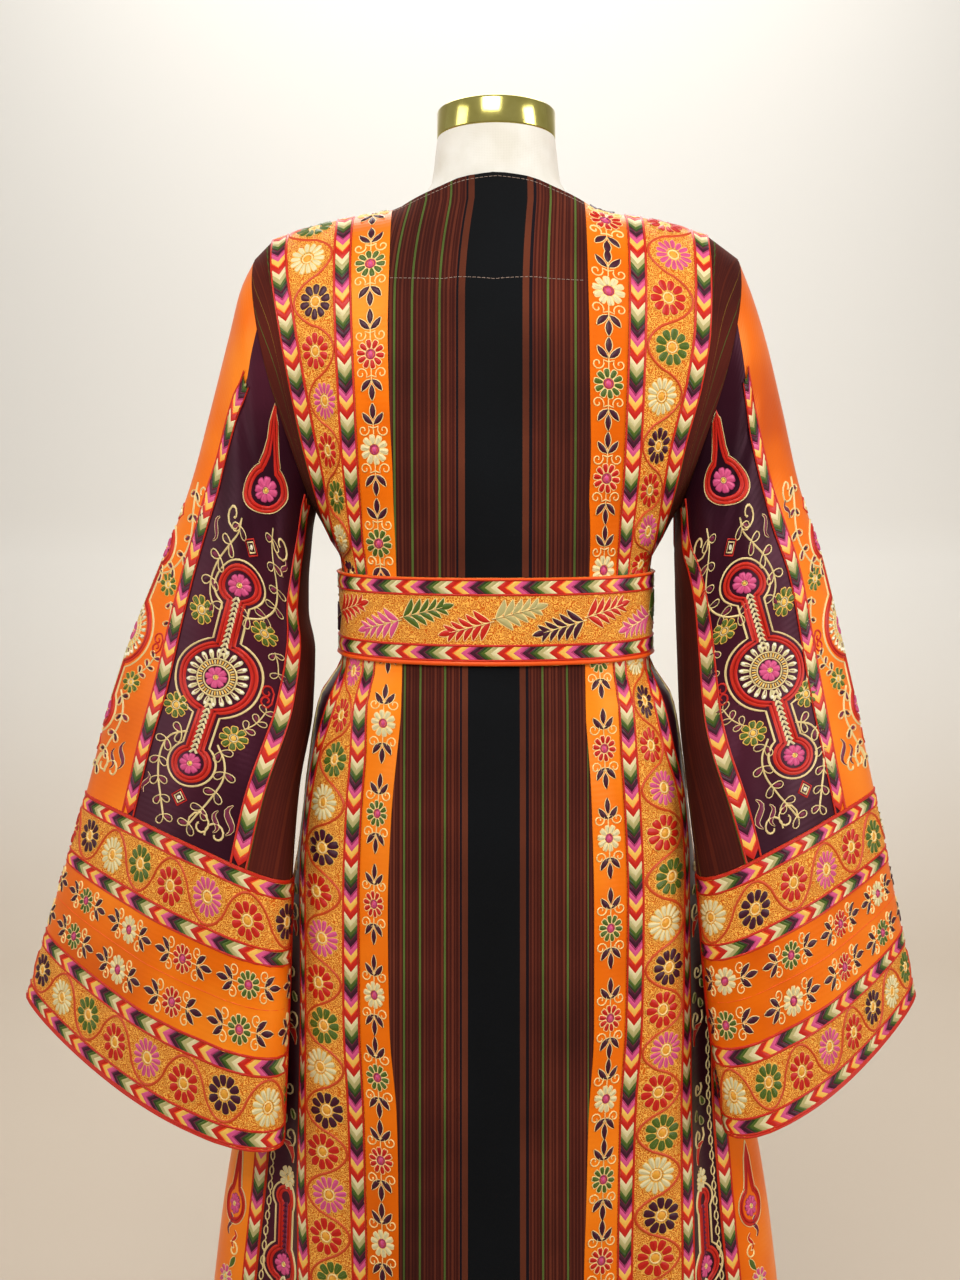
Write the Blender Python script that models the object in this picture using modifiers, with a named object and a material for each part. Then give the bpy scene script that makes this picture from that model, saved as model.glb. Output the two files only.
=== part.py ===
"""Embroidered Palestinian thobe on a limbless dress form, in metres, +Z up.

The garment's back faces -Y and its front +Y; +X is the wearer's right-hand side seen from behind.
The origin is on the floor under the middle of the stand.  Every cloth piece is a thin wall whose
outer face is worked out from the section tables below, so neighbours meet at a seam gap.
"""
import math

import bmesh
import bpy
import numpy as np

CLOTH = 0.0015            # wall thickness of the cloth
SEAM_GAP = 0.0003         # gap between two pieces at a seam
CHEST = 1.200             # height above which the body leans in to the shoulder line
SHOULDER_POWER = 2.4      # how squarely the shoulder rolls over
HEM = 0.020               # the hem hangs just clear of the floor
WAIST_SEAM = 1.040        # side pieces and gores meet under the belt
ARMPIT = 1.135
SHOULDER_TIP = 1.367
NECK_POINT = 0.0915       # where the neckline meets the shoulder line, from the middle

# The body's outer face: half sizes of its section at each height.
BODY_NAMES = ("height", "half_width", "back_depth", "front_depth", "roundness")
BODY_ROWS = (
    (0.020, 0.3180, 0.235, 0.235, 2.0),
    (0.370, 0.2715, 0.198, 0.200, 2.1),
    (0.520, 0.2490, 0.176, 0.178, 2.2),
    (0.680, 0.2160, 0.156, 0.160, 2.4),
    (0.790, 0.1925, 0.143, 0.146, 2.6),
    (0.900, 0.1770, 0.129, 0.130, 2.6),
    (0.960, 0.1665, 0.119, 0.117, 2.5),
    (0.998, 0.1445, 0.107, 0.104, 2.4),
    (1.090, 0.1445, 0.106, 0.105, 2.4),
    (1.107, 0.1550, 0.107, 0.112, 2.4),
    (1.135, 0.1700, 0.108, 0.118, 2.3),
    (1.160, 0.1900, 0.108, 0.121, 2.3),
    (1.200, 0.2220, 0.106, 0.122, 2.3),
    (1.260, 0.2720, 0.102, 0.114, 2.3),
    (1.320, 0.3450, 0.098, 0.102, 2.3),
    (1.370, 0.4300, 0.096, 0.094, 2.3),
    (1.480, 0.6000, 0.094, 0.088, 2.3),
)

# The shoulder line seen from behind, and the back neckline, both by distance from the middle.
SHOULDER_NAMES = ("lateral", "height")
SHOULDER_ROWS = (
    (0.0000, 1.4770),
    (0.0550, 1.4470),
    (0.0915, 1.4135),
    (0.1450, 1.4033),
    (0.1880, 1.3910),
    (0.2050, 1.3850),
    (0.2125, 1.3800),
    (0.2224, 1.3670),
    (0.2320, 1.3300),
)
NECKLINE_NAMES = ("lateral", "back", "front")
NECKLINE_ROWS = (
    (0.0000, 1.4400, 1.3150),
    (0.0300, 1.4365, 1.3470),
    (0.0550, 1.4265, 1.3740),
    (0.0915, 1.4135, 1.4135),
)

# The armhole: its distance from the middle at each height, the same behind and in front.
ARMHOLE_NAMES = ("height", "lateral")
ARMHOLE_ROWS = (
    (1.135, 0.1700),
    (1.150, 0.1735),
    (1.180, 0.1820),
    (1.220, 0.1945),
    (1.260, 0.2060),
    (1.300, 0.2145),
    (1.340, 0.2205),
    (1.367, 0.2224),
)

# Seams of the back by distance from the middle; the front repeats them.
# panel: edge of the striped centre panel; flower: outer edge of the orange flower band;
# daisy: outer edge of the daisy band with its ribbons; gore: aubergine gore to orange gore.
SEAM_NAMES = ("height", "panel_left", "flower_left", "daisy_left", "gore_left",
              "panel_right", "flower_right", "daisy_right", "gore_right")
SEAM_ROWS = (
    (0.020, 0.0850, 0.1160, 0.1850, 0.2650, 0.0770, 0.1080, 0.1850, 0.2620),
    (0.450, 0.0870, 0.1175, 0.1850, 0.2274, 0.0773, 0.1089, 0.1830, 0.2230),
    (0.530, 0.0875, 0.1200, 0.1895, 0.2206, 0.0795, 0.1107, 0.1826, 0.2170),
    (0.600, 0.0890, 0.1225, 0.1900, 0.2160, 0.0815, 0.1130, 0.1820, 0.2120),
    (0.680, 0.0960, 0.1270, 0.1890, 0.2080, 0.0867, 0.1194, 0.1836, 0.2060),
    (0.790, 0.0978, 0.1275, 0.1860, 0.1922, 0.0868, 0.1211, 0.1830, 0.1922),
    (0.870, 0.0945, 0.1250, 0.1770, 0.1812, 0.0850, 0.1185, 0.1760, 0.1812),
    (0.920, 0.0900, 0.1210, 0.1675, 0.1735, 0.0830, 0.1150, 0.1640, 0.1735),
    (0.960, 0.0870, 0.1180, 0.1560, 0.1660, 0.0810, 0.1110, 0.1545, 0.1660),
    (1.000, 0.0850, 0.1100, 0.1420, 0.1445, 0.0795, 0.1053, 0.1420, 0.1445),
    (1.040, 0.0870, 0.1130, 0.1420, 0.1445, 0.0810, 0.1060, 0.1420, 0.1445),
    (1.083, 0.0900, 0.1170, 0.1425, 0.1445, 0.0830, 0.1080, 0.1425, 0.1445),
    (1.107, 0.0905, 0.1200, 0.1520, 0.1550, 0.0833, 0.1090, 0.1510, 0.1550),
    (1.130, 0.0915, 0.1210, 0.1600, 0.1640, 0.0835, 0.1100, 0.1570, 0.1640),
    (1.165, 0.0930, 0.1225, 0.1680, 0.1770, 0.0833, 0.1120, 0.1640, 0.1770),
    (1.200, 0.0940, 0.1240, 0.1760, 0.1880, 0.0830, 0.1135, 0.1710, 0.1880),
    (1.250, 0.0955, 0.1260, 0.1860, 0.2030, 0.0820, 0.1150, 0.1840, 0.2030),
    (1.300, 0.0965, 0.1280, 0.1950, 0.2145, 0.0815, 0.1165, 0.1915, 0.2145),
    (1.370, 0.0955, 0.1300, 0.2050, 0.2224, 0.0805, 0.1175, 0.1935, 0.2224),
    (1.480, 0.0950, 0.1300, 0.2080, 0.2224, 0.0800, 0.1175, 0.1950, 0.2224),
)

# Long soft folds of the skirt.  angle: degrees round from the middle of the back (left is minus)
# at the belt and at the hem; spread: half width in degrees; lift: out of (+) or into (-) the skirt.
FOLD_NAMES = ("angle_top", "angle_hem", "spread", "lift", "start", "full")
FOLD_ROWS = (
    (-52, -34, 6, -0.006, 0.998, 0.90),
    (50, 32, 6, -0.006, 0.998, 0.90),
    (-84, -52, 7, -0.016, 0.90, 0.55),
    (84, 53, 7, -0.016, 0.90, 0.55),
    (-100, -72, 9, 0.010, 0.80, 0.45),
    (100, 73, 9, 0.010, 0.80, 0.45),
    (-12, -10, 9, 0.004, 0.80, 0.40),
    (14, 10, 9, 0.004, 0.75, 0.35),
    (-112, -100, 8, -0.014, 0.95, 0.50),
    (112, 100, 8, -0.014, 0.95, 0.50),
    (-128, -122, 9, 0.012, 0.95, 0.45),
    (128, 122, 9, 0.012, 0.95, 0.45),
    (-141, -140, 8, -0.012, 0.98, 0.50),
    (141, 140, 8, -0.012, 0.98, 0.50),
    (-168, -166, 9, 0.005, 0.85, 0.40),
    (168, 166, 9, 0.005, 0.85, 0.40),
)

FOLD_SWEEP = 0.6          # a fold leans most just under the belt

# Each sleeve from armhole (0) to cuff edge (1): the outer and inner end of its section, how far
# its back and front bulge from the line between them, and how far the middle sags below it.  The
# wide lower sleeve hangs with its inner end behind the skirt.
SLEEVE_NAMES = ("along", "outer_x", "outer_y", "outer_z", "inner_x", "inner_y", "inner_z",
                "back_depth", "front_depth", "sag")
SLEEVE_LEFT = (
    (0.00, 0.2224, 0.000, 1.3670, 0.1700, 0.000, 1.1350, 0.075, 0.080, 0.000),
    (0.05, 0.2345, 0.000, 1.3440, 0.1735, 0.000, 1.1180, 0.073, 0.076, 0.000),
    (0.13, 0.2470, 0.000, 1.3020, 0.1755, 0.000, 1.0980, 0.070, 0.070, 0.000),
    (0.25, 0.2690, 0.000, 1.2240, 0.1775, -0.005, 1.0680, 0.066, 0.062, 0.000),
    (0.35, 0.2870, 0.000, 1.1620, 0.1770, -0.012, 1.0400, 0.063, 0.056, 0.000),
    (0.47, 0.3155, 0.005, 1.0900, 0.1705, -0.018, 1.0030, 0.060, 0.050, 0.000),
    (0.59, 0.3477, 0.010, 1.0157, 0.1720, -0.028, 0.9500, 0.060, 0.046, -0.003),
    (0.71, 0.3770, 0.010, 0.9300, 0.1830, -0.055, 0.8780, 0.060, 0.042, -0.007),
    (0.80, 0.3957, 0.010, 0.8646, 0.1880, -0.075, 0.8000, 0.060, 0.040, -0.009),
    (0.90, 0.4290, 0.015, 0.7600, 0.1905, -0.102, 0.6850, 0.060, 0.040, 0.004),
    (1.00, 0.4633, 0.025, 0.6563, 0.1939, -0.130, 0.5671, 0.060, 0.040, 0.014),
)
SLEEVE_RIGHT = (
    (0.00, 0.2224, 0.000, 1.3670, 0.1700, 0.000, 1.1350, 0.075, 0.080, 0.000),
    (0.05, 0.2368, 0.000, 1.3330, 0.1710, 0.000, 1.1150, 0.073, 0.076, 0.000),
    (0.13, 0.2505, 0.000, 1.2943, 0.1700, 0.000, 1.0930, 0.070, 0.070, 0.000),
    (0.25, 0.2690, 0.000, 1.2270, 0.1700, -0.006, 1.0650, 0.066, 0.062, 0.000),
    (0.35, 0.2850, 0.000, 1.1620, 0.1705, -0.010, 1.0350, 0.063, 0.056, 0.000),
    (0.47, 0.3103, 0.005, 1.0870, 0.1715, -0.017, 0.9950, 0.060, 0.050, 0.000),
    (0.59, 0.3300, 0.010, 1.0150, 0.1730, -0.028, 0.9400, 0.060, 0.046, -0.002),
    (0.71, 0.3500, 0.010, 0.9350, 0.1780, -0.055, 0.8750, 0.060, 0.042, -0.005),
    (0.80, 0.3656, 0.010, 0.8686, 0.1851, -0.075, 0.8030, 0.060, 0.040, -0.007),
    (0.90, 0.3900, 0.012, 0.7600, 0.1930, -0.100, 0.6900, 0.060, 0.040, 0.003),
    (1.00, 0.4125, 0.015, 0.6610, 0.2080, -0.125, 0.5770, 0.058, 0.040, 0.011),
)
CUFF_START = 0.80
SLEEVE_SKEW = 0.30        # the section is fuller towards the body than at the outer edge
MITRE_END = 0.30          # the mitre at the armhole ends this far down it (0 half way, 1 armpit)
MITRE_FADE = 0.55
BLEND_LENGTH = 0.30       # stretch in which the armhole's own curve fades into the sections

# Seams along the sleeve: share of the way from the outer edge to the inner edge at each section.
SLEEVE_SEAM_NAMES = ("along", "top_left", "under_left", "top_right", "under_right")
SLEEVE_SEAMS = (
    (0.00, 0.290, 0.930, 0.270, 0.945),
    (0.07, 0.330, 0.930, 0.325, 0.940),
    (0.17, 0.250, 0.925, 0.310, 0.920),
    (0.26, 0.212, 0.915, 0.284, 0.880),
    (0.36, 0.187, 0.900, 0.240, 0.850),
    (0.44, 0.190, 0.893, 0.222, 0.848),
    (0.51, 0.211, 0.890, 0.230, 0.848),
    (0.59, 0.243, 0.875, 0.240, 0.843),
    (0.66, 0.260, 0.853, 0.248, 0.824),
    (0.73, 0.260, 0.818, 0.252, 0.780),
    (0.80, 0.255, 0.785, 0.250, 0.742),
)

BELT_NAMES = ("angle", "low", "high")
BELT_ROWS = (
    (0, 1.0010, 1.0798),
    (90, 1.0020, 1.0798),
    (180, 1.0030, 1.0810),
)
BELT_THICKNESS = 0.0026
BELT_CLEARANCE = 0.0012

# The dress form under the cloth.
FORM_NAMES = ("height", "half_width", "back_depth", "front_depth")
FORM_ROWS = (
    (0.800, 0.148, 0.098, 0.098),
    (0.860, 0.154, 0.107, 0.104),
    (0.930, 0.149, 0.105, 0.101),
    (1.000, 0.137, 0.098, 0.094),
    (1.060, 0.135, 0.096, 0.094),
    (1.110, 0.141, 0.098, 0.102),
    (1.150, 0.153, 0.100, 0.111),
    (1.200, 0.168, 0.098, 0.113),
)
FORM_TOP_NAMES = ("height", "half_width")
FORM_TOP_ROWS = (
    (1.200, 0.1680),
    (1.260, 0.1850),
    (1.310, 0.1950),
    (1.345, 0.1980),
    (1.364, 0.1960),
    (1.376, 0.1900),
    (1.386, 0.1780),
    (1.395, 0.1600),
    (1.4014, 0.1440),
    (1.404, 0.0880),
    (1.424, 0.0690),
)
FORM_INSET = 0.0100       # the form's shoulder lies this far under the cloth's outer face
FORM_RISE = 0.005         # and follows the cloth's section this much higher up
FORM_RIDGE = 0.005        # half thickness of the form's shoulder along its top
FORM_CORNER = 5.0         # how squarely the form's shoulder section ends at the side
FORM_COLUMNS = 28
NECK_NAMES = ("height", "radius")
NECK_ROWS = ((1.450, 0.0588), (1.465, 0.0568), (1.4775, 0.0545))
NECK_MIDDLE = 0.008
CAP_TILT = math.radians(7.0)
CAP_BASE = 1.4778
CAP_RADIUS = 0.0548
CAP_HEIGHT = 0.0260
CAP_EDGE = 0.0025
CAP_CROWN = 0.002
POLE_RADIUS = 0.0150
POLE_TOP = 0.7997
POLE_COLLAR = 0.012
FOOT_RADIUS = 0.160
FOOT_HEIGHT = 0.014
FOOT_SLOPE = 0.004

ABOVE_BELT = 1.085
PANEL_HEIGHTS = (HEM, 0.120, 0.230, 0.340, 0.450, 0.550, 0.650, 0.740, 0.820, 0.890, 0.945,
                 0.975, 0.998, WAIST_SEAM, ABOVE_BELT, 1.118, 1.158, CHEST)
UPPER_ROWS = 5            # rows of a long panel between the chest and its top edge
GORE_HEIGHTS = (HEM, 0.120, 0.230, 0.340, 0.450, 0.550, 0.650, 0.740, 0.820, 0.890, 0.945,
                0.975, 0.998, WAIST_SEAM - SEAM_GAP / 2)
PANEL_COLUMNS = 10
PANEL_CROWDING = 0.75
SIDE_SPREAD = 1.5         # how late a side piece's columns fan out towards the armhole
SIDE_CROWDING = 18.0      # keeps a side piece's columns off the armhole near the shoulder tip
FLOWER_COLUMNS = 3
DAISY_COLUMNS = 5
AUBERGINE_COLUMNS = 4
ORANGE_COLUMNS = 12
TOP_COLUMNS = 8
BACK_COLUMNS = 6
UNDER_COLUMNS = 6
BELT_COLUMNS = 72
BELT_ROW_COUNT = 2
CUFF_THICKNESS = 0.0020
CUFF_SEAM = 0.00013       # share of the sleeve's length that opens a seam gap at the cuff
SLEEVE_ALONGS = (0.0, 0.03, 0.08, 0.15, 0.23, 0.32, 0.42, 0.52, 0.62, 0.71, CUFF_START - CUFF_SEAM)
CUFF_ALONGS = (CUFF_START + CUFF_SEAM, 0.85, 0.90, 0.95, 1.0)
TURN_STEPS = 28
SHARP_ANGLE = math.radians(50)
COLLECTION = "thobe_on_form"

COLOURS = {                       # red, green, blue, roughness, metallic
    "striped_cloth": (0.070, 0.012, 0.008, 0.85, 0.0),
    "orange_satin": (0.800, 0.180, 0.015, 0.40, 0.0),
    "daisy_ground": (0.720, 0.270, 0.060, 0.75, 0.0),
    "aubergine_satin": (0.045, 0.011, 0.024, 0.42, 0.0),
    "linen": (0.820, 0.790, 0.720, 0.85, 0.0),
    "gold_metal": (0.780, 0.620, 0.210, 0.15, 1.0),
    "stand_metal": (0.550, 0.550, 0.560, 0.35, 1.0),
}


def smooth_table(rows, names, name, at):
    """Read one column of a table at any places, through a smooth curve that never overshoots."""
    table = np.array(rows, dtype=float)
    keys = table[:, 0]
    values = table[:, names.index(name)]
    at = np.clip(np.asarray(at, dtype=float), keys[0], keys[-1])
    step = np.diff(keys)
    slope = np.diff(values) / step
    same_way = slope[:-1] * slope[1:] > 0
    before = np.where(same_way, slope[:-1], 1.0)
    after = np.where(same_way, slope[1:], 1.0)
    weight_before = 2 * step[1:] + step[:-1]
    weight_after = step[1:] + 2 * step[:-1]
    mean = (weight_before + weight_after) / (weight_before / before + weight_after / after)
    tangent = np.concatenate(([slope[0]], np.where(same_way, mean, 0.0), [slope[-1]]))
    i = np.clip(np.searchsorted(keys, at, side="right") - 1, 0, len(step) - 1)
    t = (at - keys[i]) / step[i]
    return (values[i] * (1 + 2 * t) * (1 - t) ** 2
            + values[i + 1] * t * t * (3 - 2 * t)
            + step[i] * (tangent[i] * t * (1 - t) ** 2 + tangent[i + 1] * t * t * (t - 1)))


def body_size(name, z):
    return smooth_table(BODY_ROWS, BODY_NAMES, name, z)


def shoulder_height(x):
    return smooth_table(SHOULDER_ROWS, SHOULDER_NAMES, "height", np.abs(x))


def shoulder_roll(x, z):
    """1 below the chest, falling to 0 on the shoulder line: a quarter of a superellipse."""
    share = np.clip((z - CHEST) / (shoulder_height(x) - CHEST), 0.0, 1.0)
    return (1 - share ** SHOULDER_POWER) ** (1 / SHOULDER_POWER)


def fold_lift(angle, z):
    """Sum of the skirt's long folds: bell curves across, growing from the belt down."""
    degrees = np.degrees(angle)
    lift = np.zeros(np.broadcast(degrees, z).shape)
    for top, hem, spread, height, start, full in FOLD_ROWS:
        down = np.clip((WAIST_SEAM - z) / (WAIST_SEAM - HEM), 0.0, 1.0)
        middle = top + (hem - top) * down ** FOLD_SWEEP
        grow = np.clip((start - z) / (start - full), 0.0, 1.0)
        grow = grow * grow * (3 - 2 * grow)
        off = (degrees - middle + 180) % 360 - 180
        lift = lift + height * grow * np.exp(-(off / spread) ** 2)
    return lift


def body_point(angle, z):
    """The garment's outer face: a superellipse section at height z, read at an angle round from
    the middle of the back, with the skirt's folds, rolled over to the shoulder line."""
    wide = body_size("half_width", z)
    power = body_size("roundness", z)
    deep = np.where(np.cos(angle) > 0, body_size("back_depth", z), body_size("front_depth", z))
    across = np.abs(np.sin(angle)) / wide
    along = np.abs(np.cos(angle)) / deep
    radius = (across ** power + along ** power) ** (-1 / power) + fold_lift(angle, z)
    x = radius * np.sin(angle)
    y = -radius * np.cos(angle) * shoulder_roll(x, z)
    return np.stack(np.broadcast_arrays(x, y, z), axis=-1)


def outward(surface, first, second, step_first=1e-4, step_second=1e-4):
    """Unit normals of a surface given by two parameters, from its slopes."""
    along_first = surface(first + step_first, second) - surface(first - step_first, second)
    along_second = surface(first, second + step_second) - surface(first, second - step_second)
    normal = np.cross(along_first, along_second)
    return normal / np.linalg.norm(normal, axis=-1, keepdims=True)


def angle_at(lateral, z, front=False):
    """Angle round the body of the point this far from the middle at height z."""
    wide = body_size("half_width", z)
    power = body_size("roundness", z)
    deep = body_size("front_depth" if front else "back_depth", z)
    share = np.clip(np.abs(lateral) / wide, 0.0, 0.99999)
    back = np.arctan2(np.abs(lateral), deep * (1 - share ** power) ** (1 / power))
    return np.sign(lateral) * (math.pi - back if front else back)


def seam_angle(name, z, front=False):
    """Signed angle of a named seam; left seams are minus."""
    sign = -1.0 if name.endswith("left") else 1.0
    return angle_at(sign * smooth_table(SEAM_ROWS, SEAM_NAMES, name, z), z, front)


def top_edge(x, front=False):
    """Height of the neckline near the neck and of the shoulder line beyond it."""
    neck = smooth_table(NECKLINE_ROWS, NECKLINE_NAMES, "front" if front else "back", np.abs(x))
    return np.where(np.abs(x) < NECK_POINT, neck, shoulder_height(x))


def inset_angle(angle, z, distance):
    """Move an angle along the section by a distance in metres."""
    small = 1e-4
    speed = np.linalg.norm(body_point(angle + small, z) - body_point(angle - small, z), axis=-1)
    return angle + distance * 2 * small / speed


def long_panel(start, end, columns, front=False, crowding=0.0):
    """Outer points and normals of a piece that runs from the hem to its top edge between two
    seams.  start and end give a seam's angle at any height.  Rows lie at set heights up to the
    chest, and then spread up to the neckline or the shoulder line.  crowding, from 0 to 1, draws
    the columns towards the two seams."""
    share = np.linspace(0.0, 1.0, columns + 1)
    share = share - crowding * np.sin(2 * math.pi * share) / (2 * math.pi)
    top = np.full(columns + 1, SHOULDER_TIP)
    for _ in range(8):
        x = body_point(start(top) + (end(top) - start(top)) * share, top)[:, 0]
        top = top_edge(x, front)
    low = np.repeat(np.array(PANEL_HEIGHTS)[:, None], columns + 1, axis=1)
    climb = np.sin(np.linspace(0.0, math.pi / 2, UPPER_ROWS + 1)[1:, None])
    z = np.concatenate([low, CHEST + (top - CHEST) * climb])
    first = inset_angle(start(z), z, SEAM_GAP / 2)
    last = inset_angle(end(z), z, -SEAM_GAP / 2)
    angle = first + (last - first) * share
    points = body_point(angle, z)
    normals = outward(body_point, angle, z)
    on_shoulder = np.abs(points[-1, :, 0]) > NECK_POINT
    points[-1, on_shoulder, 1] = SEAM_GAP / 2 if front else -SEAM_GAP / 2
    normals[-1, on_shoulder, 1] = 0.0
    normals[-1] /= np.linalg.norm(normals[-1], axis=-1, keepdims=True)
    return points, normals


def gore(start, end, columns):
    """Outer points and normals of a skirt gore between two seams, from the hem to the belt."""
    share = np.linspace(0.0, 1.0, columns + 1)
    z = np.repeat(np.array(GORE_HEIGHTS)[:, None], columns + 1, axis=1)
    first = inset_angle(start(z), z, SEAM_GAP / 2)
    last = inset_angle(end(z), z, -SEAM_GAP / 2)
    angle = first + (last - first) * share
    return body_point(angle, z), outward(body_point, angle, z)


def armhole_angle(z, front=False):
    """Angle of the armhole's edge at height z on the right-hand side."""
    lateral = smooth_table(ARMHOLE_ROWS, ARMHOLE_NAMES, "lateral", z)
    return angle_at(lateral, z, front)


def armhole_height(turn):
    """Height on the armhole: 0 at the shoulder tip, half a turn at the armpit."""
    return (SHOULDER_TIP + ARMPIT) / 2 + (SHOULDER_TIP - ARMPIT) / 2 * np.cos(turn)


def side_wing(daisy_seam, turns, below, front):
    """Half of a bodice side piece on the right-hand side: columns fan out from the daisy band's
    seam (first column) to the side line, and each ends on the shoulder or on the armhole.  Its
    rows follow the daisy band's own, so that the two edges run together."""
    corner = SHOULDER_TIP
    for _ in range(8):
        corner = shoulder_height(smooth_table(SEAM_ROWS, SEAM_NAMES, daisy_seam, corner))
    tops = np.concatenate([[corner], armhole_height(turns)])
    low = [z for z in PANEL_HEIGHTS if z >= WAIST_SEAM]
    climb = np.sin(np.linspace(0.0, math.pi / 2, UPPER_ROWS + 1)[1:])
    heights = np.concatenate([low, CHEST + (corner - CHEST) * climb])
    rows = np.clip((heights - ABOVE_BELT) / (corner - ABOVE_BELT), 0.0, 1.0)[:, None]
    z = ABOVE_BELT + (tops - ABOVE_BELT) * rows
    z[0] = WAIST_SEAM + SEAM_GAP / 2
    inner = np.abs(seam_angle(daisy_seam, z, front))
    side = np.full_like(z, math.pi / 2)
    outer = np.where(z > ARMPIT, armhole_angle(z, front), side)
    crowd = np.concatenate([[0.0], SIDE_CROWDING * np.cos(turns / 2) ** 2])
    spread = below + (1.0 - below) * rows ** (SIDE_SPREAD + crowd)
    spread[:, 0] = 0.0
    return inner + (outer - inner) * spread, z


def sleeve_turns(along, side):
    """Turns of every sleeve column at one place along it, from the front trim round the outer
    edge, the back and the underarm to the front again."""
    top = float(sleeve_seam("top_" + side)(along))
    under = float(sleeve_seam("under_" + side)(along))
    ends = (-top, top, under, 2 * math.pi - under, 2 * math.pi - top)
    counts = (TOP_COLUMNS, BACK_COLUMNS, UNDER_COLUMNS, BACK_COLUMNS)
    runs = [np.linspace(ends[i], ends[i + 1], counts[i] + 1)[:-1] for i in range(len(counts))]
    return np.concatenate(runs).round(9)


def side_panel(side):
    """Outer points and normals of a bodice side piece: two wings joined along the side line."""
    seam = "daisy_right" if side > 0 else "daisy_left"
    turns = sleeve_turns(0.0, "right" if side > 0 else "left")
    turns = turns[(turns >= 0) & (turns < math.pi + 1e-6)]
    below = np.linspace(0.0, 1.0, len(turns) + 1)
    back_angle, back_z = side_wing(seam, turns, below, front=False)
    front_angle, front_z = side_wing(seam, turns, below, front=True)
    angle = np.concatenate([back_angle, front_angle[:, -2::-1]], axis=1)
    z = np.concatenate([back_z, front_z[:, -2::-1]], axis=1)
    angle[:, 0] = inset_angle(angle[:, 0], z[:, 0], SEAM_GAP / 2)
    angle[:, -1] = inset_angle(angle[:, -1], z[:, -1], -SEAM_GAP / 2)
    points = body_point(angle, z)
    normals = outward(body_point, angle, z)
    for column, gap in ((0, -SEAM_GAP / 2), (1, -SEAM_GAP / 2), (-2, SEAM_GAP / 2), (-1, SEAM_GAP / 2)):
        points[-1, column, 1] = gap
        normals[-1, column, 1] = 0.0
        normals[-1, column] /= np.linalg.norm(normals[-1, column])
    return points * (side, 1, 1), normals * (side, 1, 1)


def armhole_point(turn):
    """The armhole's edge on the right-hand side, with the back at turns from 0 to pi."""
    z = armhole_height(turn)
    behind = np.sin(turn) >= 0
    back = body_point(armhole_angle(z, False), z)
    front = body_point(armhole_angle(z, True), z)
    point = np.where(behind[..., None], back, front)
    point[..., 1] *= np.clip(np.abs(np.sin(turn)) * 1e6, 0, 1)
    return point


def sleeve_section(rows, turn, along):
    """A sleeve's plain section: two half ellipses, back and front, on the line from its outer
    end (turn 0) to its inner end (half a turn), both fuller towards the inner end."""
    outer, inner = (np.stack([smooth_table(rows, SLEEVE_NAMES, end + axis, along)
                              for axis in ("_x", "_y", "_z")], axis=-1) for end in ("outer", "inner"))
    share = ((1 - np.cos(turn)) / 2)[..., None]
    point = outer + (inner - outer) * share
    back = smooth_table(rows, SLEEVE_NAMES, "back_depth", along)
    front = smooth_table(rows, SLEEVE_NAMES, "front_depth", along)
    skew = 1 - SLEEVE_SKEW * np.cos(turn) * np.clip(along / BLEND_LENGTH, 0, 1)
    point[..., 1] -= np.where(np.sin(turn) > 0, back, front) * np.sin(turn) * skew
    point[..., 2] -= smooth_table(rows, SLEEVE_NAMES, "sag", along) * np.sin(turn) ** 2
    return point


def sleeve_point(rows, turn, along):
    """A right-hand sleeve's outer face: the armhole's own curve fading into plain sections."""
    fade = np.clip(along / BLEND_LENGTH, 0.0, 1.0)
    fade = (1 - fade) ** 2 * (1 + 2 * fade)
    start = sleeve_section(rows, turn, np.zeros_like(along))
    return sleeve_section(rows, turn, along) + fade[..., None] * (armhole_point(turn) - start)


def sleeve_grid(rows, turn, along):
    """Outer points and normals of a stretch of sleeve.  At the armhole the wall takes the body's
    own normal over the shoulder and behind the arm, so that the two walls meet in a mitre."""
    def surface(first, second):
        return sleeve_point(rows, first, second)
    points = surface(turn, along)
    ahead = np.clip(along + 1e-3, 0.0, 1.0)
    behind = np.clip(along - 1e-3, 0.0, 1.0)
    around = surface(turn + 1e-3, along) - surface(turn - 1e-3, along)
    down = surface(turn, ahead) - surface(turn, behind)
    normals = np.cross(around, down)
    normals /= np.linalg.norm(normals, axis=-1, keepdims=True)
    at_armhole = along < 1e-9
    z = armhole_height(turn)
    front = np.sin(turn) < 0
    body_angle = np.where(front, armhole_angle(z, True), armhole_angle(z, False))
    body_normal = outward(body_point, body_angle, z)
    tip = np.abs(np.sin(turn)) < 1e-6
    body_normal[tip, 1] = 0.0
    body_normal /= np.linalg.norm(body_normal, axis=-1, keepdims=True)
    share = np.clip((-np.cos(turn) - MITRE_END) / MITRE_FADE, 0.0, 1.0)[..., None]
    mitre = body_normal * (1 - share) + normals * share
    mitre /= np.linalg.norm(mitre, axis=-1, keepdims=True)
    away = np.cross(mitre, around)
    away /= np.linalg.norm(away, axis=-1, keepdims=True)
    away = away * (1 - share) + share * np.array((1.0, 0.0, 0.0))
    points = np.where(at_armhole[..., None], points + SEAM_GAP * away, points)
    normals = np.where(at_armhole[..., None], mitre, normals)
    return points, normals


def sleeve_panel(rows, start, end, columns, alongs):
    """Outer points and normals of one long sleeve piece between two seams, from the armhole to
    the cuff.  start and end give a seam's turn at any place along the sleeve."""
    share = np.linspace(0.0, 1.0, columns + 1)
    along = np.repeat(np.array(alongs)[:, None], columns + 1, axis=1)
    turn = start(along) + (end(along) - start(along)) * share
    small = 1e-4
    speed = np.linalg.norm(sleeve_point(rows, turn + small, along)
                           - sleeve_point(rows, turn - small, along), axis=-1) / (2 * small)
    turn = turn + SEAM_GAP / 2 / speed * (1 - 2 * share)
    return sleeve_grid(rows, turn, along)


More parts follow.
